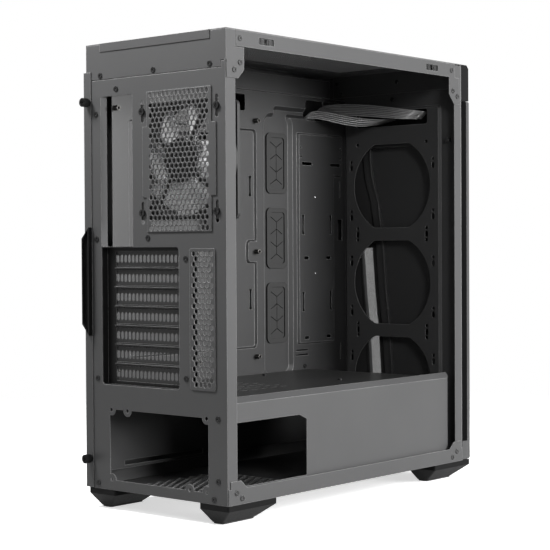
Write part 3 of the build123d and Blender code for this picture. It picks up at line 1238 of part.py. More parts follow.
def usb_ports():
    """Folded steel port shells with their tongues, standing on the board."""
    ports = []
    for across in (USB_ACROSS, USB_ACROSS - USB_STEP):
        shell = around(across, BUTTON_LINE, USB_WIDTH, USB_DEPTH)
        well = around(across, BUTTON_LINE, USB_WIDTH - 2 * USB_WALL, USB_DEPTH - 2 * USB_WALL)
        port = level(shell, HOUSING_TOP, IO_BOARD_DOWN) - level(well, 0, IO_BOARD_DOWN - SHEET)
        tongue = around(across, BUTTON_LINE - 0.8, USB_WIDTH - 3.0, 1.4)
        ports.append(port + level(tongue, HOUSING_TOP + SHEET, IO_BOARD_DOWN - SHEET))
    return Compound(children=ports)


def audio_jacks():
    """Round socket bodies for headphone plugs, standing on the board."""
    jacks = []
    for across in (JACK_ACROSS, JACK_ACROSS - JACK_STEP):
        ring = disc(across, BUTTON_LINE, JACK_BODY) - disc(across, BUTTON_LINE, JACK_HOLE)
        base_top = IO_BOARD_DOWN - SHEET
        base = level(disc(across, BUTTON_LINE, JACK_BODY), base_top, IO_BOARD_DOWN)
        jacks.append(base + level(ring, HOUSING_TOP, base_top))
    return Compound(children=jacks)


def place(across, forward, down):
    return Vector(X_LEFT + across, Y_REAR - forward, Z_TOP - down)


# Lead routes as points (across, forward, down)
UPPER_ROUTE = [
    (58, 424, 58), (62, 410, 58), (80, 398, 56), (108, 388, 52), (138, 379, 49),
    (162, 371, 48), (177, 366, 50), (186, 363, 57), (189, 362, 65), (189, 362, 73),
]
LOWER_ROUTE = [
    (112, 424, 63), (115, 410, 64), (128, 394, 65), (145, 377, 62), (160, 362, 57),
    (174, 351, 54), (184, 345, 58), (188, 343, 65), (188, 343, 73),
]


def lead(route):
    """Round lead bundle along straight runs joined by arcs as large as the runs allow."""
    points = [place(*point) for point in route]
    radii = []
    for before, here, after in zip(points, points[1:], points[2:]):
        turn = (here - before).get_angle(after - here)
        shorter = min((here - before).length, (after - here).length)
        radii.append(0.45 * shorter / tan(radians(turn) / 2))
    path = FilletPolyline(*points, radius=radii)
    section = Plane(path @ 0, z_dir=path % 0) * Circle(LEAD_DIAMETER / 2)
    tube = sweep(section, path)
    straight = pi * (LEAD_DIAMETER / 2) ** 2 * path.length
    print("lead length", round(path.length, 1), "radii", [round(r, 1) for r in radii])
    print("lead volume over section times length", round(tube.volume / straight, 4))
    return tube


def lead_plugs():
    """Plug blocks behind the tray that the two round leads end in."""
    plugs = []
    for route in (UPPER_ROUTE, LOWER_ROUTE):
        across, forward, down = route[-1]
        half = LEAD_DIAMETER
        along = (forward - half, forward + half)
        plugs.append(block((TRAY + SHEET, across + half), along, (down, down + LEAD_PLUG_HEIGHT)))
    return Compound(children=plugs)


def all_parts():
    parts = {
        "rear_panel": rear_panel(),
        "rear_fan_grille": rear_fan_grille(),
        "rear_vent_grille": rear_vent_grille(),
        "slot_bracket": slot_bracket(),
        "slot_screws": slot_screws(),
        "rear_top_strip": rear_top_strip(),
        "left_top_rail": left_top_rail(),
        "right_top_rail": right_top_rail(),
        "side_clips": side_clips(),
        "top_panel": top_panel(),
        "top_filter": top_filter(),
        "floor_pan": floor_pan(),
        "floor_rails": floor_rails(),
        "floor_vent": floor_vent(),
        "front_wall": front_wall(),
        "front_posts": front_posts(),
        "front_top_strip": front_top_strip(),
        "motherboard_tray": motherboard_tray(),
        "tray_top_rail": tray_top_rail(),
        "tray_standoffs": tray_standoffs(),
        "psu_shroud": psu_shroud(),
        "shroud_side": shroud_side(),
        "fan_frame": fan_frame(),
        "fan_impeller": fan_impeller(),
        "fan_screws": fan_screws(),
        "rear_rivets": rear_rivets(),
        "side_rivets": side_rivets(),
        "foot_pads": foot_pads(),
        "right_side_panel": right_side_panel(),
        "side_panel_grip": side_panel_grip(),
        "thumb_screw_top": thumb_screw(THUMB_DOWNS[0]),
        "thumb_screw_bottom": thumb_screw(THUMB_DOWNS[1]),
        "thumb_shank_top": thumb_shank(THUMB_DOWNS[0]),
        "thumb_shank_bottom": thumb_shank(THUMB_DOWNS[1]),
        "front_plate": front_plate(),
        "front_frame": front_frame(),
        "io_housing": io_housing(),
        "io_board": io_board(),
        "usb_ports": usb_ports(),
        "audio_jacks": audio_jacks(),
        "power_button": button(POWER_ACROSS, POWER_BUTTON),
        "reset_button": button(RESET_ACROSS, RESET_BUTTON),
        "upper_lead": lead(UPPER_ROUTE),
        "lower_lead": lead(LOWER_ROUTE),
        "lead_plugs": lead_plugs(),
    }
    for index in range(SLOT_COUNT):
        parts[f"slot_cover_{index + 1}"] = slot_cover(index)
    for index, down in enumerate(grommet_downs()):
        parts[f"grommet_{index + 1}"] = grommet(down)
    for name, (across, forward) in foot_places().items():
        parts[f"foot_{name}"] = foot(across, forward)
    return parts


os.makedirs("parts", exist_ok=True)
for name, shape in all_parts().items():
    export_step(shape, f"parts/{name}.step")
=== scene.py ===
import bpy
import math
import random
from mathutils import Matrix, Vector


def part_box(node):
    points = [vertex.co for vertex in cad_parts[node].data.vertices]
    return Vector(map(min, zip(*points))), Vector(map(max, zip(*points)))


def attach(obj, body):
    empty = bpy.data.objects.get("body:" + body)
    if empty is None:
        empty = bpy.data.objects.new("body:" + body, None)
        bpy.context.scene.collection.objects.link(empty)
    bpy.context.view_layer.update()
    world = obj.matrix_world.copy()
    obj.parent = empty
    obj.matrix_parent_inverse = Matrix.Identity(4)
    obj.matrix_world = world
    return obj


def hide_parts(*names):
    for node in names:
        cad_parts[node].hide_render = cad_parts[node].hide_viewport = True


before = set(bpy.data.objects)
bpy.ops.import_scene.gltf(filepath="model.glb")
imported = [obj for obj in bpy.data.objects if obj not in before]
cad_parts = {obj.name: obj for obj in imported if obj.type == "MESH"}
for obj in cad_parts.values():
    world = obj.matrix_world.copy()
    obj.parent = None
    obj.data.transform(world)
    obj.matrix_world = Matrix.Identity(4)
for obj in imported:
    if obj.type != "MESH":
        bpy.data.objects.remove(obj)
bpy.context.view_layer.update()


# Folded steel frame
# Panels, posts, rails, floor, front wall and grilles are folded and pressed from one millimetre steel
# sheet. Each sheet is dipped and then powder coated in a fine matt black.
mix_first, mix_second, mix_result = 6, 7, 2


def surface(name, dark, light, edge_highlight, rough, grain, bump, edge=0.0006, metallic=0.0, patch=11.0, shine=0.3):
    """A two-toned finish with fine grain in its gloss and relief, and painted highlights along its edges."""
    patch_share, grain_share = 0.55, 0.45
    flat_face, highlight_corner, strongest_highlight = 1.0, 0.88, 1.3
    gloss_spread, grain_depth = 0.08, 0.0002
    material = bpy.data.materials.new(name)
    material.use_nodes = True
    tree = material.node_tree
    shader = tree.nodes["Principled BSDF"]
    shader.inputs["Metallic"].default_value = metallic
    shader.inputs["Specular IOR Level"].default_value = shine
    place = tree.nodes.new("ShaderNodeTexCoord")
    broad = tree.nodes.new("ShaderNodeTexNoise")
    broad.inputs["Scale"].default_value = patch
    broad.inputs["Detail"].default_value = 5.0
    fine = tree.nodes.new("ShaderNodeTexNoise")
    fine.inputs["Scale"].default_value = grain
    fine.inputs["Detail"].default_value = 2.0
    for texture in (broad, fine):
        tree.links.new(place.outputs["Object"], texture.inputs["Vector"])
    tone = tree.nodes.new("ShaderNodeMix")
    tone.data_type = "RGBA"
    tone.inputs[mix_first].default_value = (*dark, 1.0)
    tone.inputs[mix_second].default_value = (*light, 1.0)
    blend = tree.nodes.new("ShaderNodeMath")
    blend.operation = "MULTIPLY_ADD"
    blend.inputs[1].default_value = patch_share
    tree.links.new(broad.outputs["Fac"], blend.inputs[0])
    speck = tree.nodes.new("ShaderNodeMath")
    speck.operation = "MULTIPLY"
    speck.inputs[1].default_value = grain_share
    tree.links.new(fine.outputs["Fac"], speck.inputs[0])
    tree.links.new(speck.outputs[0], blend.inputs[2])
    tree.links.new(blend.outputs[0], tone.inputs[0])
    rounded = tree.nodes.new("ShaderNodeBevel")
    rounded.samples = 4
    rounded.inputs["Radius"].default_value = edge
    true_face = tree.nodes.new("ShaderNodeNewGeometry")
    meet = tree.nodes.new("ShaderNodeVectorMath")
    meet.operation = "DOT_PRODUCT"
    tree.links.new(rounded.outputs["Normal"], meet.inputs[0])
    tree.links.new(true_face.outputs["Normal"], meet.inputs[1])
    corner = tree.nodes.new("ShaderNodeMapRange")
    corner.inputs["From Min"].default_value = flat_face
    corner.inputs["From Max"].default_value = highlight_corner
    corner.inputs["To Max"].default_value = strongest_highlight
    tree.links.new(meet.outputs["Value"], corner.inputs["Value"])
    # Painted highlight: near the mesh's edges the colour is mixed, in patches, towards the paler edge colour.
    highlight_mask = tree.nodes.new("ShaderNodeMath")
    highlight_mask.operation = "MULTIPLY"
    tree.links.new(corner.outputs["Result"], highlight_mask.inputs[0])
    tree.links.new(broad.outputs["Fac"], highlight_mask.inputs[1])
    highlighted = tree.nodes.new("ShaderNodeMix")
    highlighted.data_type = "RGBA"
    highlighted.inputs[mix_second].default_value = (*edge_highlight, 1.0)
    tree.links.new(highlight_mask.outputs[0], highlighted.inputs[0])
    tree.links.new(tone.outputs[mix_result], highlighted.inputs[mix_first])
    tree.links.new(highlighted.outputs[mix_result], shader.inputs["Base Color"])
    gloss = tree.nodes.new("ShaderNodeMapRange")
    gloss.inputs["To Min"].default_value = rough - gloss_spread
    gloss.inputs["To Max"].default_value = rough + gloss_spread
    tree.links.new(fine.outputs["Fac"], gloss.inputs["Value"])
    tree.links.new(gloss.outputs["Result"], shader.inputs["Roughness"])
    relief = tree.nodes.new("ShaderNodeBump")
    relief.inputs["Strength"].default_value = bump
    relief.inputs["Distance"].default_value = grain_depth
    tree.links.new(fine.outputs["Fac"], relief.inputs["Height"])
    tree.links.new(rounded.outputs["Normal"], relief.inputs["Normal"])
    tree.links.new(relief.outputs["Normal"], shader.inputs["Normal"])
    return material


def dress(material, *names):
    """Gives CAD nodes one material in all their slots."""
    for name in names:
        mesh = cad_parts[name].data
        mesh.materials.clear()
        mesh.materials.append(material)


powder = surface("powder_coat", dark=(0.066, 0.066, 0.067), light=(0.094, 0.094, 0.095),
                 edge_highlight=(0.50, 0.50, 0.50), rough=0.44, grain=1200.0, bump=0.6, edge=0.0008, shine=0.22)
dress(powder, "rear_panel", "rear_top_strip", "left_top_rail", "right_top_rail", "floor_pan", "floor_rails",
      "floor_vent", "front_wall", "front_posts", "front_top_strip",
      "shroud_side", "top_panel", "right_side_panel", "rear_fan_grille", "rear_vent_grille")


# Board tray
# The upright tray is pressed into fields and channels from one sheet. Its coat is glossier than the frame's;
# its darker colour is painted shade for the inside of the case, and its bends carry painted highlights.
tray_coat_painted_shade = surface("tray_coat_painted_shade", dark=(0.020, 0.020, 0.0205), light=(0.033, 0.033, 0.0335),
                    edge_highlight=(0.46, 0.46, 0.46), rough=0.38, grain=1200.0, bump=0.6, edge=0.0008, shine=0.42)
dress(tray_coat_painted_shade, "motherboard_tray", "tray_top_rail")


# Shroud top
# The shroud's level sheet is folded from thinner steel and coated smoother than the frame. Its blacker
# colour is painted shade for the shade of the rails it lies in.
shroud_painted_shade = surface("shroud_coat_painted_shade", dark=(0.018, 0.018, 0.018), light=(0.030, 0.030, 0.030),
                     edge_highlight=(0.10, 0.10, 0.10), rough=0.36, grain=1700.0, bump=0.25, shine=0.25)
dress(shroud_painted_shade, "psu_shroud")


# Slot bracket and covers
# A bracket with a lip along each bar is pressed in behind the card slots. Seven thin steel covers with a
# row of tall rounded holes close it, each held by one screw. Both are coloured blacker than the frame as
# painted shade for the shadow in the slots' recess.
cover_count = 7
bracket_coat_painted_shade = surface("slot_bracket_coat_painted_shade", dark=(0.008, 0.008, 0.008), light=(0.015, 0.015, 0.015),
                       edge_highlight=(0.40, 0.40, 0.40), rough=0.42, grain=1500.0, bump=0.3, shine=0.12)
dress(bracket_coat_painted_shade, "slot_bracket")
cover_coat_painted_shade = surface("slot_cover_coat_painted_shade", dark=(0.020, 0.020, 0.020), light=(0.032, 0.032, 0.032),
                     edge_highlight=(0.12, 0.12, 0.12), rough=0.45, grain=1500.0, bump=0.25, shine=0.25)
dress(cover_coat_painted_shade, *[f"slot_cover_{index + 1}" for index in range(cover_count)])


# Screws, rivets and clips
# Steel screws and low rivet heads blackened by oxide, with painted highlights on their rims, and
# blackened spring clips snapped into the slots of the upper rail.
black_oxide = surface("black_oxide", dark=(0.008, 0.008, 0.008), light=(0.016, 0.016, 0.0165),
                      edge_highlight=(0.20, 0.20, 0.20), rough=0.34, grain=900.0, bump=0.3, edge=0.0002, metallic=0.1,
                      shine=0.2)
dress(black_oxide, "rear_rivets", "fan_screws", "slot_screws", "thumb_shank_top", "thumb_shank_bottom")
rivet_steel = surface("rivet_steel", dark=(0.014, 0.014, 0.014), light=(0.026, 0.026, 0.0265),
                      edge_highlight=(0.62, 0.62, 0.62), rough=0.32, grain=900.0, bump=0.3, edge=0.0004, metallic=0.1)
dress(rivet_steel, "side_rivets")
spring_steel = surface("spring_steel", dark=(0.008, 0.008, 0.008), light=(0.016, 0.016, 0.0165),
                       edge_highlight=(0.4, 0.4, 0.4), rough=0.36, grain=700.0, bump=0.2, edge=0.0003, metallic=0.1)
dress(spring_steel, "side_clips")


# Board posts
# Hexagonal threaded posts turned from steel, blackened and pressed into the tray. Their rims carry
# painted highlights.
post_steel = surface("post_steel", dark=(0.045, 0.044, 0.043), light=(0.085, 0.083, 0.080),
                     edge_highlight=(0.62, 0.60, 0.56), rough=0.33, grain=800.0, bump=0.2, metallic=0.7)
dress(post_steel, "tray_standoffs")


# Grommets and foot pads
# Black rubber mouldings with a dull skin. Slit grommets are pushed into the cable channel's holes, and
# thin pads are glued under the feet.
rubber = surface("black_rubber", dark=(0.012, 0.012, 0.012), light=(0.022, 0.022, 0.022),
                 edge_highlight=(0.045, 0.045, 0.045), rough=0.58, grain=1300.0, bump=0.3)
dress(rubber, "grommet_1", "grommet_2", "grommet_3", "foot_pads")


# Moulded plastic
# Feet, port housing, buttons, plugs, the panel's grip and the knurled caps of its thumb screws are
# moulded in deep black plastic with a fine spark-eroded grain. They snap or screw into the steel.
plastic = surface("moulded_plastic", dark=(0.005, 0.005, 0.0051), light=(0.010, 0.010, 0.0102),
                  edge_highlight=(0.05, 0.05, 0.05), rough=0.55, grain=2600.0, bump=0.45, edge=0.0008, shine=0.06)
dress(plastic, "foot_front_left", "foot_front_right", "foot_rear_left", "foot_rear_right", "io_housing",
      "side_panel_grip", "power_button", "reset_button", "lead_plugs", "audio_jacks", "thumb_screw_top",
      "thumb_screw_bottom")


# Front cover
# The front plate and the ribbed frame behind it are moulded in a greyer, glossier plastic, with painted
# highlights along the ribs' edges. They snap onto the front wall.
cover_plastic = surface("cover_plastic", dark=(0.042, 0.042, 0.043), light=(0.062, 0.062, 0.063),
                        edge_highlight=(0.16, 0.16, 0.16), rough=0.32, grain=2200.0, bump=0.25, edge=0.0008, shine=0.4)
dress(cover_plastic, "front_plate", "front_frame")


# Rear fan
# A square black housing is screwed to the rear panel. Its seven-bladed impeller is moulded in milky,
# half-clear plastic that takes up the light behind the grille.
housing_plastic = surface("fan_housing_plastic", dark=(0.012, 0.012, 0.012), light=(0.020, 0.020, 0.020),
                          edge_highlight=(0.05, 0.05, 0.05), rough=0.42, grain=1700.0, bump=0.3)
dress(housing_plastic, "fan_frame")
milky = surface("milky_plastic", dark=(0.84, 0.84, 0.85), light=(0.93, 0.93, 0.94), edge_highlight=(0.85, 0.85, 0.85),
                rough=0.28, grain=300.0, bump=0.08, patch=25.0)
milky_shader = milky.node_tree.nodes["Principled BSDF"]
milky_shader.inputs["Subsurface Weight"].default_value = 0.9
milky_shader.inputs["Subsurface Radius"].default_value = (1.0, 1.0, 1.0)
milky_shader.inputs["Subsurface Scale"].default_value = 0.012
dress(milky, "fan_impeller")


# Top filter
# A black dust cloth on a net of crossed plastic strands, both in a flat magnetic frame that lies loose
# on the top panel and lifts off.
def rounded_sheet(name, place, width, length, corner, segments):
    """A flat sheet with rounded corners, left in edit mode with its face selected."""
    bpy.ops.object.select_all(action="DESELECT")
    bpy.ops.mesh.primitive_plane_add(size=1.0, location=place)
    sheet = bpy.context.object
    sheet.name = name
    sheet.scale = (width, length, 1.0)
    bpy.ops.object.transform_apply(location=True, rotation=True, scale=True)
    bpy.ops.object.mode_set(mode="EDIT")
    bpy.ops.mesh.bevel(offset=corner, segments=segments, affect="VERTICES")
    return sheet


def thicken(sheet, thickness):
    """Leaves edit mode and gives a flat sheet its thickness, upwards."""
    bpy.ops.object.mode_set(mode="OBJECT")
    wall = sheet.modifiers.new("wall", "SOLIDIFY")
    wall.thickness = thickness
    wall.offset = 1.0
    bpy.ops.object.modifier_apply(modifier="wall")


def crossed_strands(name, lays, strand_size, step, count, cuts):
    """A net of two lays of strands, each a turned bar that is stepped along and cut off at planes."""
    courses = []
    for rotation, location in lays:
        bpy.ops.object.select_all(action="DESELECT")
        bpy.ops.mesh.primitive_cube_add(size=1.0, rotation=rotation, location=location, scale=strand_size)
        lay = bpy.context.object
        bpy.ops.object.transform_apply(location=True, rotation=True, scale=True)
        course = lay.modifiers.new("course", "ARRAY")
        course.count = count
        course.use_relative_offset = False
        course.use_constant_offset = True
        course.constant_offset_displace = step
        bpy.ops.object.modifier_apply(modifier="course")
        bpy.ops.object.mode_set(mode="EDIT")
        for place, facing in cuts:
            bpy.ops.mesh.select_all(action="SELECT")
            bpy.ops.mesh.bisect(plane_co=place, plane_no=facing, use_fill=True, clear_outer=True)
        bpy.ops.object.mode_set(mode="OBJECT")
        courses.append(lay)
    courses[0].select_set(True)
    bpy.ops.object.join()
    joined = bpy.context.object
    joined.name = name
    return joined


filter_low, filter_high = (Vector(corner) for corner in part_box("top_filter"))
filter_mid = (filter_low + filter_high) / 2
filter_size = filter_high - filter_low
rim, rim_corner, rim_softness = 0.010, 0.013, 0.0003
frame_share = 0.9
mesh_pitch, strand_width, strand_thick = 0.0036, 0.0011, 0.0003
strand_turns = (math.radians(45.0), math.radians(-45.0))
strand_drops = (-0.0001, -0.0003)
cloth_rise, cloth_weave, cloth_corner = 0.0001, 0.0002, 0.004
tucked = 0.7 * rim

filter_frame = rounded_sheet("filter_frame", (filter_mid.x, filter_mid.y, filter_low.z), filter_size.x,
                             filter_size.y, corner=rim_corner, segments=6)
bpy.ops.mesh.inset(thickness=rim)
bpy.ops.mesh.delete(type="FACE")
thicken(filter_frame, frame_share * filter_size.z)
soft = filter_frame.modifiers.new("soft_edges", "BEVEL")
soft.width = rim_softness
soft.segments = 2
bpy.ops.object.modifier_apply(modifier="soft_edges")

reach_x = filter_size.x - 2.0 * tucked
ends = (filter_low.y + tucked, filter_high.y - tucked)
filter_net = crossed_strands(
    "filter_net",
    [((0.0, 0.0, turn), (filter_mid.x, ends[0] - reach_x / 2, filter_mid.z + drop))
     for turn, drop in zip(strand_turns, strand_drops)],
    strand_size=(reach_x * math.sqrt(2.0), strand_width, strand_thick),
    step=(0.0, mesh_pitch, 0.0),
    count=int((ends[1] - ends[0] + reach_x) / mesh_pitch),
    cuts=[((0.0, end, 0.0), (0.0, facing, 0.0)) for end, facing in zip(ends, (-1.0, 1.0))])

filter_cloth = rounded_sheet("filter_cloth", (filter_mid.x, filter_mid.y, filter_mid.z + cloth_rise), reach_x,
                             ends[1] - ends[0], corner=cloth_corner, segments=3)
thicken(filter_cloth, cloth_weave)

filter_rim = surface("filter_rim", dark=(0.014, 0.014, 0.014), light=(0.024, 0.024, 0.024),
                     edge_highlight=(0.06, 0.06, 0.06), rough=0.55, grain=1500.0, bump=0.3)
# The strands are coloured pale grey as painted highlight for the light they catch from the open side.
strands_painted_highlight = surface("filter_net", dark=(0.46, 0.46, 0.46), light=(0.60, 0.60, 0.60),
                      edge_highlight=(0.62, 0.62, 0.62), rough=0.45, grain=1500.0, bump=0.3)
dust_cloth = surface("dust_cloth", dark=(0.010, 0.010, 0.010), light=(0.018, 0.018, 0.018),
                     edge_highlight=(0.03, 0.03, 0.03), rough=0.7, grain=2400.0, bump=0.6)
for piece, finish in ((filter_frame, filter_rim), (filter_net, strands_painted_highlight), (filter_cloth, dust_cloth)):
    piece.data.materials.append(finish)
    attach(piece, "filter")
    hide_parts("top_filter")


# Floor filter
# A dust cloth woven from dull black thread closes the floor vent from below. It is glued into a flat
# frame that is pressed to the underside of the floor.
vent_low, vent_high = (Vector(corner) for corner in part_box("floor_vent"))
vent_mid = (vent_low + vent_high) / 2
vent_size = vent_high - vent_low
floor_rim, floor_corner, floor_drop = 0.006, 0.009, 0.0012
step_width, step_depth, sheet_share = 0.0006, 0.0004, 0.8
floor_filter = rounded_sheet("floor_filter", (vent_mid.x, vent_mid.y, vent_low.z - floor_drop), vent_size.x,
                             vent_size.y, corner=floor_corner, segments=6)
bpy.ops.mesh.inset(thickness=floor_rim)
bpy.ops.mesh.inset(thickness=step_width, depth=-step_depth)
thicken(floor_filter, sheet_share * floor_drop)
floor_filter.data.materials.append(dust_cloth)
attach(floor_filter, "case")


# Intake net
# A strip of crossed black plastic strands is glued behind the front plate's intake slot and keeps dust
# out. It is cut from the same kind of net as the top filter's, in a finer pitch.
net_pitch, net_strand, net_thick = 0.0017, 0.00055, 0.0003
net_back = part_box("front_plate")[1][1]
net_lifts = (0.0003, 0.0006)
net_foot, net_top = 0.0485, 0.2825
net_foot_across, net_lean = 0.0294, 0.0125 / 0.1730
net_half, lean_allowance = 0.0133, 0.012
net_reach = 2.0 * net_half + lean_allowance
intake_net = crossed_strands(
    "intake_net",
    [((0.0, turn, 0.0), (0.0, net_back + lift, net_foot - net_reach / 2))
     for turn, lift in zip(strand_turns, net_lifts)],
    strand_size=(2.0 * net_reach, net_thick, net_strand),
    step=(0.0, 0.0, net_pitch),
    count=int((net_top - net_foot + net_reach) / net_pitch),
    cuts=[((-net_half, 0.0, 0.0), (-1.0, 0.0, 0.0)), ((net_half, 0.0, 0.0), (1.0, 0.0, 0.0)),
          ((0.0, 0.0, net_top), (0.0, 0.0, 1.0)), ((0.0, 0.0, net_foot), (0.0, 0.0, -1.0))])
lean = Matrix(((1.0, 0.0, net_lean, net_foot_across - net_lean * net_foot),
               (0.0, 1.0, 0.0, 0.0), (0.0, 0.0, 1.0, 0.0), (0.0, 0.0, 0.0, 1.0)))
intake_net.data.transform(lean)
intake_strand = surface("intake_strand", dark=(0.030, 0.030, 0.030), light=(0.050, 0.050, 0.050),
                        edge_highlight=(0.08, 0.08, 0.08), rough=0.45, grain=1500.0, bump=0.3, edge=0.0001)
intake_net.data.materials.append(intake_strand)
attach(intake_net, "front_cover")


# Port board
# A lacquered circuit board is screwed into the port housing. It carries port shells folded from thin
# plated steel.
lacquer = surface("board_lacquer", dark=(0.010, 0.050, 0.022), light=(0.018, 0.075, 0.034),
                  edge_highlight=(0.25, 0.23, 0.15), rough=0.3, grain=500.0, bump=0.15)
dress(lacquer, "io_board")
plated = surface("plated_steel", dark=(0.45, 0.45, 0.46), light=(0.6, 0.6, 0.62), edge_highlight=(0.8, 0.8, 0.8),
                 rough=0.25, grain=600.0, bump=0.15, metallic=1.0)
dress(plated, "usb_ports")


# Leads of the port housing
# Thin wires in black sleeves leave the port housing through the front wall's slot, side by side as two
# flat ribbons, and go through the tray's hatch to plugs behind it.
# The sleeves are black; their mid-grey colour is painted sheen for the light they catch.
sleeve_painted_sheen = surface("wire_sleeve_painted_sheen", dark=(0.200, 0.200, 0.201), light=(0.300, 0.300, 0.301),
                 edge_highlight=(0.08, 0.08, 0.08), rough=0.22, grain=900.0, bump=0.15, shine=1.0)
sleeve_shader = sleeve_painted_sheen.node_tree.nodes["Principled BSDF"]
sleeve_shader.inputs["Coat Weight"].default_value = 1.0
sleeve_shader.inputs["Coat Roughness"].default_value = 0.16


def measure(piece):
    """Length of a curve's own line."""
    depth = piece.data.bevel_depth
    piece.data.bevel_depth = 0.0
    mesh = bpy.data.meshes.new_from_object(piece)
    piece.data.bevel_depth = depth
    spots = [vertex.co.copy() for vertex in mesh.vertices]
    bpy.data.meshes.remove(mesh)
    return sum((b - a).length for a, b in zip(spots, spots[1:]))


def ribbon_of_wires(name, node, route, spread, count, wire):
    """Wires side by side along a route; spread is the ribbon's half width at each route point."""
    most_stray = 0.0007
    for index in range(count):
        share = 2.0 * index / (count - 1) - 1.0
        curve = bpy.data.curves.new(f"{name}_{index + 1}", "CURVE")
        curve.dimensions = "3D"
        curve.bevel_depth = 1.0
        curve.bevel_resolution = 3
        curve.resolution_u = 8
        line = curve.splines.new("NURBS")
        line.points.add(len(route) - 1)
        points = []
        for at, (middle, half) in enumerate(zip(route, spread)):
            stray = most_stray if 1 < at < len(route) - 2 else 0.0
            drift = Vector((random.uniform(-stray, stray), random.uniform(-stray, stray), 0.0))
            points.append(Vector(middle) + share * Vector(half) + drift)
        for point, place in zip(line.points, points):
            point.co = (*place, 1.0)
            point.radius = wire / 2
        line.order_u = 3
        line.use_endpoint_u = True
        piece = bpy.data.objects.new(f"{name}_{index + 1}", curve)
        bpy.context.collection.objects.link(piece)
        curve.materials.append(sleeve_painted_sheen)
        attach(piece, "case")
        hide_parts(node)
        measure(piece)


wire_width = 0.0018
upper_route = [
    (-0.0446, -0.212235, 0.4395), (-0.0406, -0.198235, 0.4395), (-0.0226, -0.186235, 0.4415),
    (0.0054, -0.176235, 0.4455), (0.0354, -0.167235, 0.4485), (0.0594, -0.159235, 0.4495),
    (0.0744, -0.154235, 0.4475), (0.0834, -0.151235, 0.4405), (0.0864, -0.150235, 0.4325),
    (0.0864, -0.150235, 0.4245)]
upper_spread = [
    (0.005, 0.0, -0.0035), (0.005, 0.0, -0.0040), (0.003, 0.0, -0.0055), (0.001, 0.0, -0.0064),
    (0.0, 0.0, -0.0064), (0.0, 0.0, -0.0060), (0.0, 0.001, -0.0050), (0.0015, 0.0025, -0.0030),
    (0.0020, 0.0040, 0.0), (0.0020, 0.0042, 0.0)]
lower_route = [
    (0.0094, -0.212235, 0.4345), (0.0124, -0.198235, 0.4335), (0.0254, -0.182235, 0.4325),
    (0.0424, -0.165235, 0.4355), (0.0574, -0.150235, 0.4405), (0.0714, -0.139235, 0.4435),
    (0.0814, -0.133235, 0.4395), (0.0854, -0.131235, 0.4325), (0.0854, -0.131235, 0.4245)]
lower_spread = [
    (0.009, 0.0, -0.0020), (0.008, 0.0, -0.0025), (0.004, 0.0, -0.0042), (0.001, 0.0, -0.0046),
    (0.0, 0.0, -0.0046), (0.0, 0.001, -0.0042), (0.0012, 0.0025, -0.0030), (0.0020, 0.0040, 0.0),
    (0.0020, 0.0042, 0.0)]
random.seed(7)
ribbon_of_wires("upper_wire", "upper_lead", upper_route, upper_spread, count=7, wire=wire_width)
ribbon_of_wires("lower_wire", "lower_lead", lower_route, lower_spread, count=5, wire=wire_width)


# Small screws inside the case
# Pan-head screws of blackened steel with a round recess hold the shroud's top, the tray's foot and the
# strip along the front wall. Two small bright studs of the same make stand on the tray's drive field.
head_radius, skirt_height, crown_height = 0.0025, 0.0012, 0.0006
crown_slope, recess_edge, recess_depth = 0.0006, 0.0009, 0.0009
facing_up = 0.9
bpy.ops.object.select_all(action="DESELECT")
bpy.ops.mesh.primitive_cylinder_add(vertices=24, radius=head_radius, depth=skirt_height,
                                    location=(0.0, 0.0, skirt_height / 2))
pattern = bpy.context.object
pattern.name = "inner_screw_1"
bpy.ops.object.transform_apply(location=True, rotation=True, scale=True)
bpy.ops.object.mode_set(mode="EDIT")
bpy.ops.mesh.select_all(action="DESELECT")
bpy.ops.object.mode_set(mode="OBJECT")
for face in pattern.data.polygons:
    face.select = face.normal.z > facing_up
bpy.ops.object.mode_set(mode="EDIT")
bpy.ops.mesh.select_mode(type="FACE")
bpy.ops.mesh.inset(thickness=crown_slope)
bpy.ops.transform.translate(value=(0.0, 0.0, crown_height))
bpy.ops.mesh.inset(thickness=recess_edge)
bpy.ops.mesh.extrude_region_move(TRANSFORM_OT_translate={"value": (0.0, 0.0, -recess_depth)})
bpy.ops.object.mode_set(mode="OBJECT")
bpy.ops.object.shade_smooth_by_angle(angle=math.radians(35.0))
pattern.data.materials.append(black_oxide)


def another_screw(name):
    """A copy of the first screw, with its own mesh."""
    copy = pattern.copy()
    copy.data = pattern.data.copy()
    copy.name = name
    bpy.context.collection.objects.link(copy)
    return copy


upright = Matrix()
to_rear = Matrix.Rotation(math.radians(-90.0), 4, "X")
to_left = Matrix.Rotation(math.radians(-90.0), 4, "Y")
screw_places = [
    ((-0.0536, -0.0302, 0.1285), upright), ((0.0544, -0.0242, 0.1285), upright),
    ((0.0734, -0.1219, 0.1326), to_left),
    ((0.0850, -0.20427, 0.4864), to_rear), ((0.0784, -0.20427, 0.4735), to_rear),
    ((0.0785, -0.20527, 0.4620), to_rear), ((-0.0011, -0.20527, 0.4614), to_rear),
    ((-0.0088, -0.20427, 0.4824), to_rear)]
stud_places = [(0.0709, -0.1403, 0.3411), (0.0709, -0.1403, 0.2469)]
stud_scale = 0.5
screws = [pattern]
screws += [another_screw(f"inner_screw_{index + 1}") for index in range(1, len(screw_places))]
studs = [another_screw(f"drive_stud_{index + 1}") for index in range(len(stud_places))]
for screw, (place, turn) in zip(screws, screw_places):
    screw.data.transform(Matrix.Translation(place) @ turn)
    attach(screw, "case")
for stud, place in zip(studs, stud_places):
    stud.data.materials[0] = plated
    stud.data.transform(Matrix.Translation(place) @ to_left @ Matrix.Scale(stud_scale, 4))
    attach(stud, "case")


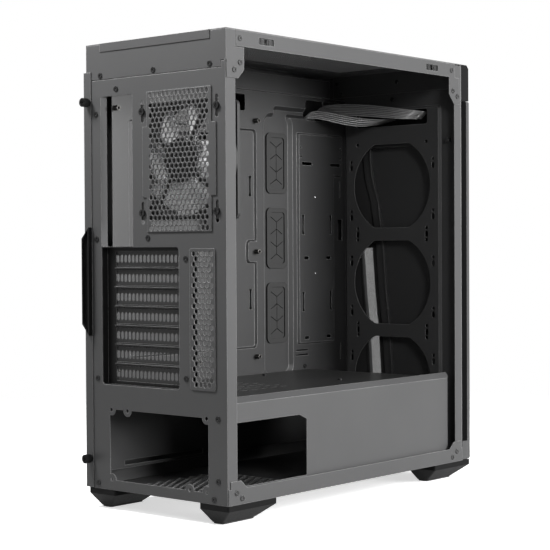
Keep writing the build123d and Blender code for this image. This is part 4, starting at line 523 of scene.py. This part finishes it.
# Studio floor and backdrop
# A round sheet of pale paper keeps the soft shadow and fades out into a white surround. Both show white
# to the camera and in gloss, and light the case only faintly.
def plainly_seen(tree):
    """One for a ray that shows the backdrop, straight, mirrored or through clear plastic."""
    rays = tree.nodes.new("ShaderNodeLightPath")
    either = tree.nodes.new("ShaderNodeMath")
    either.operation = "MAXIMUM"
    tree.links.new(rays.outputs["Is Camera Ray"], either.inputs[0])
    tree.links.new(rays.outputs["Is Glossy Ray"], either.inputs[1])
    seen = tree.nodes.new("ShaderNodeMath")
    seen.operation = "MAXIMUM"
    tree.links.new(either.outputs[0], seen.inputs[0])
    tree.links.new(rays.outputs["Is Transmission Ray"], seen.inputs[1])
    return seen.outputs[0]


paper_radius, fade_end, fade_start = 1.3, 1.2, 0.6
paper_hidden, paper_shown, paper_strength = (0.12, 0.12, 0.12, 1.0), (0.95, 0.95, 0.95, 1.0), 0.62
sky_hidden, white = (0.08, 0.08, 0.081, 1.0), (1.0, 1.0, 1.0, 1.0)
bpy.ops.object.select_all(action="DESELECT")
bpy.ops.mesh.primitive_circle_add(vertices=96, radius=paper_radius, fill_type="NGON",
                                  location=(0.0, 0.0, 0.0))
floor = bpy.context.object
floor.name = "studio_floor"
paper = bpy.data.materials.new("studio_paper")
paper.use_nodes = True
paper_tree = paper.node_tree
paper_shader = paper_tree.nodes["Principled BSDF"]
paper_shader.inputs["Roughness"].default_value = 0.9
paper_shader.inputs["Specular IOR Level"].default_value = 0.0
paper_tone = paper_tree.nodes.new("ShaderNodeMix")
paper_tone.data_type = "RGBA"
paper_tone.inputs[mix_first].default_value = paper_hidden
paper_tone.inputs[mix_second].default_value = paper_shown
paper_seen = plainly_seen(paper_tree)
paper_tree.links.new(paper_seen, paper_tone.inputs[0])
paper_tree.links.new(paper_tone.outputs[mix_result], paper_shader.inputs["Base Color"])
paper_shader.inputs["Emission Color"].default_value = white
paper_glow = paper_tree.nodes.new("ShaderNodeMath")
paper_glow.operation = "MULTIPLY"
paper_glow.inputs[1].default_value = paper_strength
paper_tree.links.new(paper_seen, paper_glow.inputs[0])
paper_tree.links.new(paper_glow.outputs[0], paper_shader.inputs["Emission Strength"])
spot = paper_tree.nodes.new("ShaderNodeTexCoord")
reach = paper_tree.nodes.new("ShaderNodeVectorMath")
reach.operation = "LENGTH"
paper_tree.links.new(spot.outputs["Object"], reach.inputs[0])
fade = paper_tree.nodes.new("ShaderNodeMapRange")
fade.inputs["From Min"].default_value = fade_end
fade.inputs["From Max"].default_value = fade_start
paper_tree.links.new(reach.outputs["Value"], fade.inputs["Value"])
paper_tree.links.new(fade.outputs["Result"], paper_shader.inputs["Alpha"])
floor.data.materials.append(paper)

world = bpy.data.worlds.new("studio_world")
bpy.context.scene.world = world
world.use_nodes = True
world_tree = world.node_tree
backdrop = world_tree.nodes["Background"]
backdrop.inputs["Strength"].default_value = 1.0
sky = world_tree.nodes.new("ShaderNodeMix")
sky.data_type = "RGBA"
sky.inputs[mix_first].default_value = sky_hidden
sky.inputs[mix_second].default_value = white
world_tree.links.new(plainly_seen(world_tree), sky.inputs[0])
world_tree.links.new(sky.outputs[mix_result], backdrop.inputs["Color"])


# Lamps
# Four square soft lamps: a large one at the open side, a small one over the rear, a fill beside the
# camera and a large one overhead.
def lamp(name, place, aim, size, power):
    """A square soft lamp that faces a point."""
    light = bpy.data.lights.new(name, "AREA")
    light.size = size
    light.energy = power
    holder = bpy.data.objects.new(name, light)
    holder.location = place
    holder.rotation_euler = (Vector(aim) - Vector(place)).to_track_quat("-Z", "Y").to_euler()
    bpy.context.collection.objects.link(holder)


lamp("side_lamp", place=(-2.40, -0.87, 0.80), aim=(0.0, 0.0, 0.28), size=1.2, power=100.0)
lamp("rear_lamp", place=(0.35, 0.60, 1.05), aim=(0.0, 0.21, 1.0), size=0.35, power=18.0)
lamp("fill_lamp", place=(-1.75, 1.10, 1.00), aim=(0.0, 0.0, 0.28), size=0.4, power=11.0)
lamp("top_lamp", place=(0.6, -0.3, 2.4), aim=(0.0, 0.0, 0.3), size=1.2, power=18.0)


# Camera
# A long lens behind and to the left of the case, a little above half its height and almost level.
# Its place and angles were solved on the case's standard hole patterns.
camera_place, focal_length, film_width = (-1.1073, 1.31297, 0.2790), 98.68, 36.0
yaw, pitch, roll = math.radians(40.56), math.radians(1.05), math.radians(-0.32)
ahead = Vector((math.sin(yaw) * math.cos(pitch), -math.cos(yaw) * math.cos(pitch), -math.sin(pitch)))
level = Vector((-math.cos(yaw), -math.sin(yaw), 0.0))
above = level.cross(ahead)
right = math.cos(roll) * level + math.sin(roll) * above
up = -math.sin(roll) * level + math.cos(roll) * above
lens = bpy.data.cameras.new("photo_camera")
lens.lens = focal_length
lens.sensor_width = film_width
camera = bpy.data.objects.new("photo_camera", lens)
turned = Matrix((right, up, -ahead)).transposed().to_4x4()
camera.matrix_world = Matrix.Translation(camera_place) @ turned
bpy.context.collection.objects.link(camera)
bpy.context.scene.camera = camera
bpy.context.scene.view_settings.view_transform = "Standard"
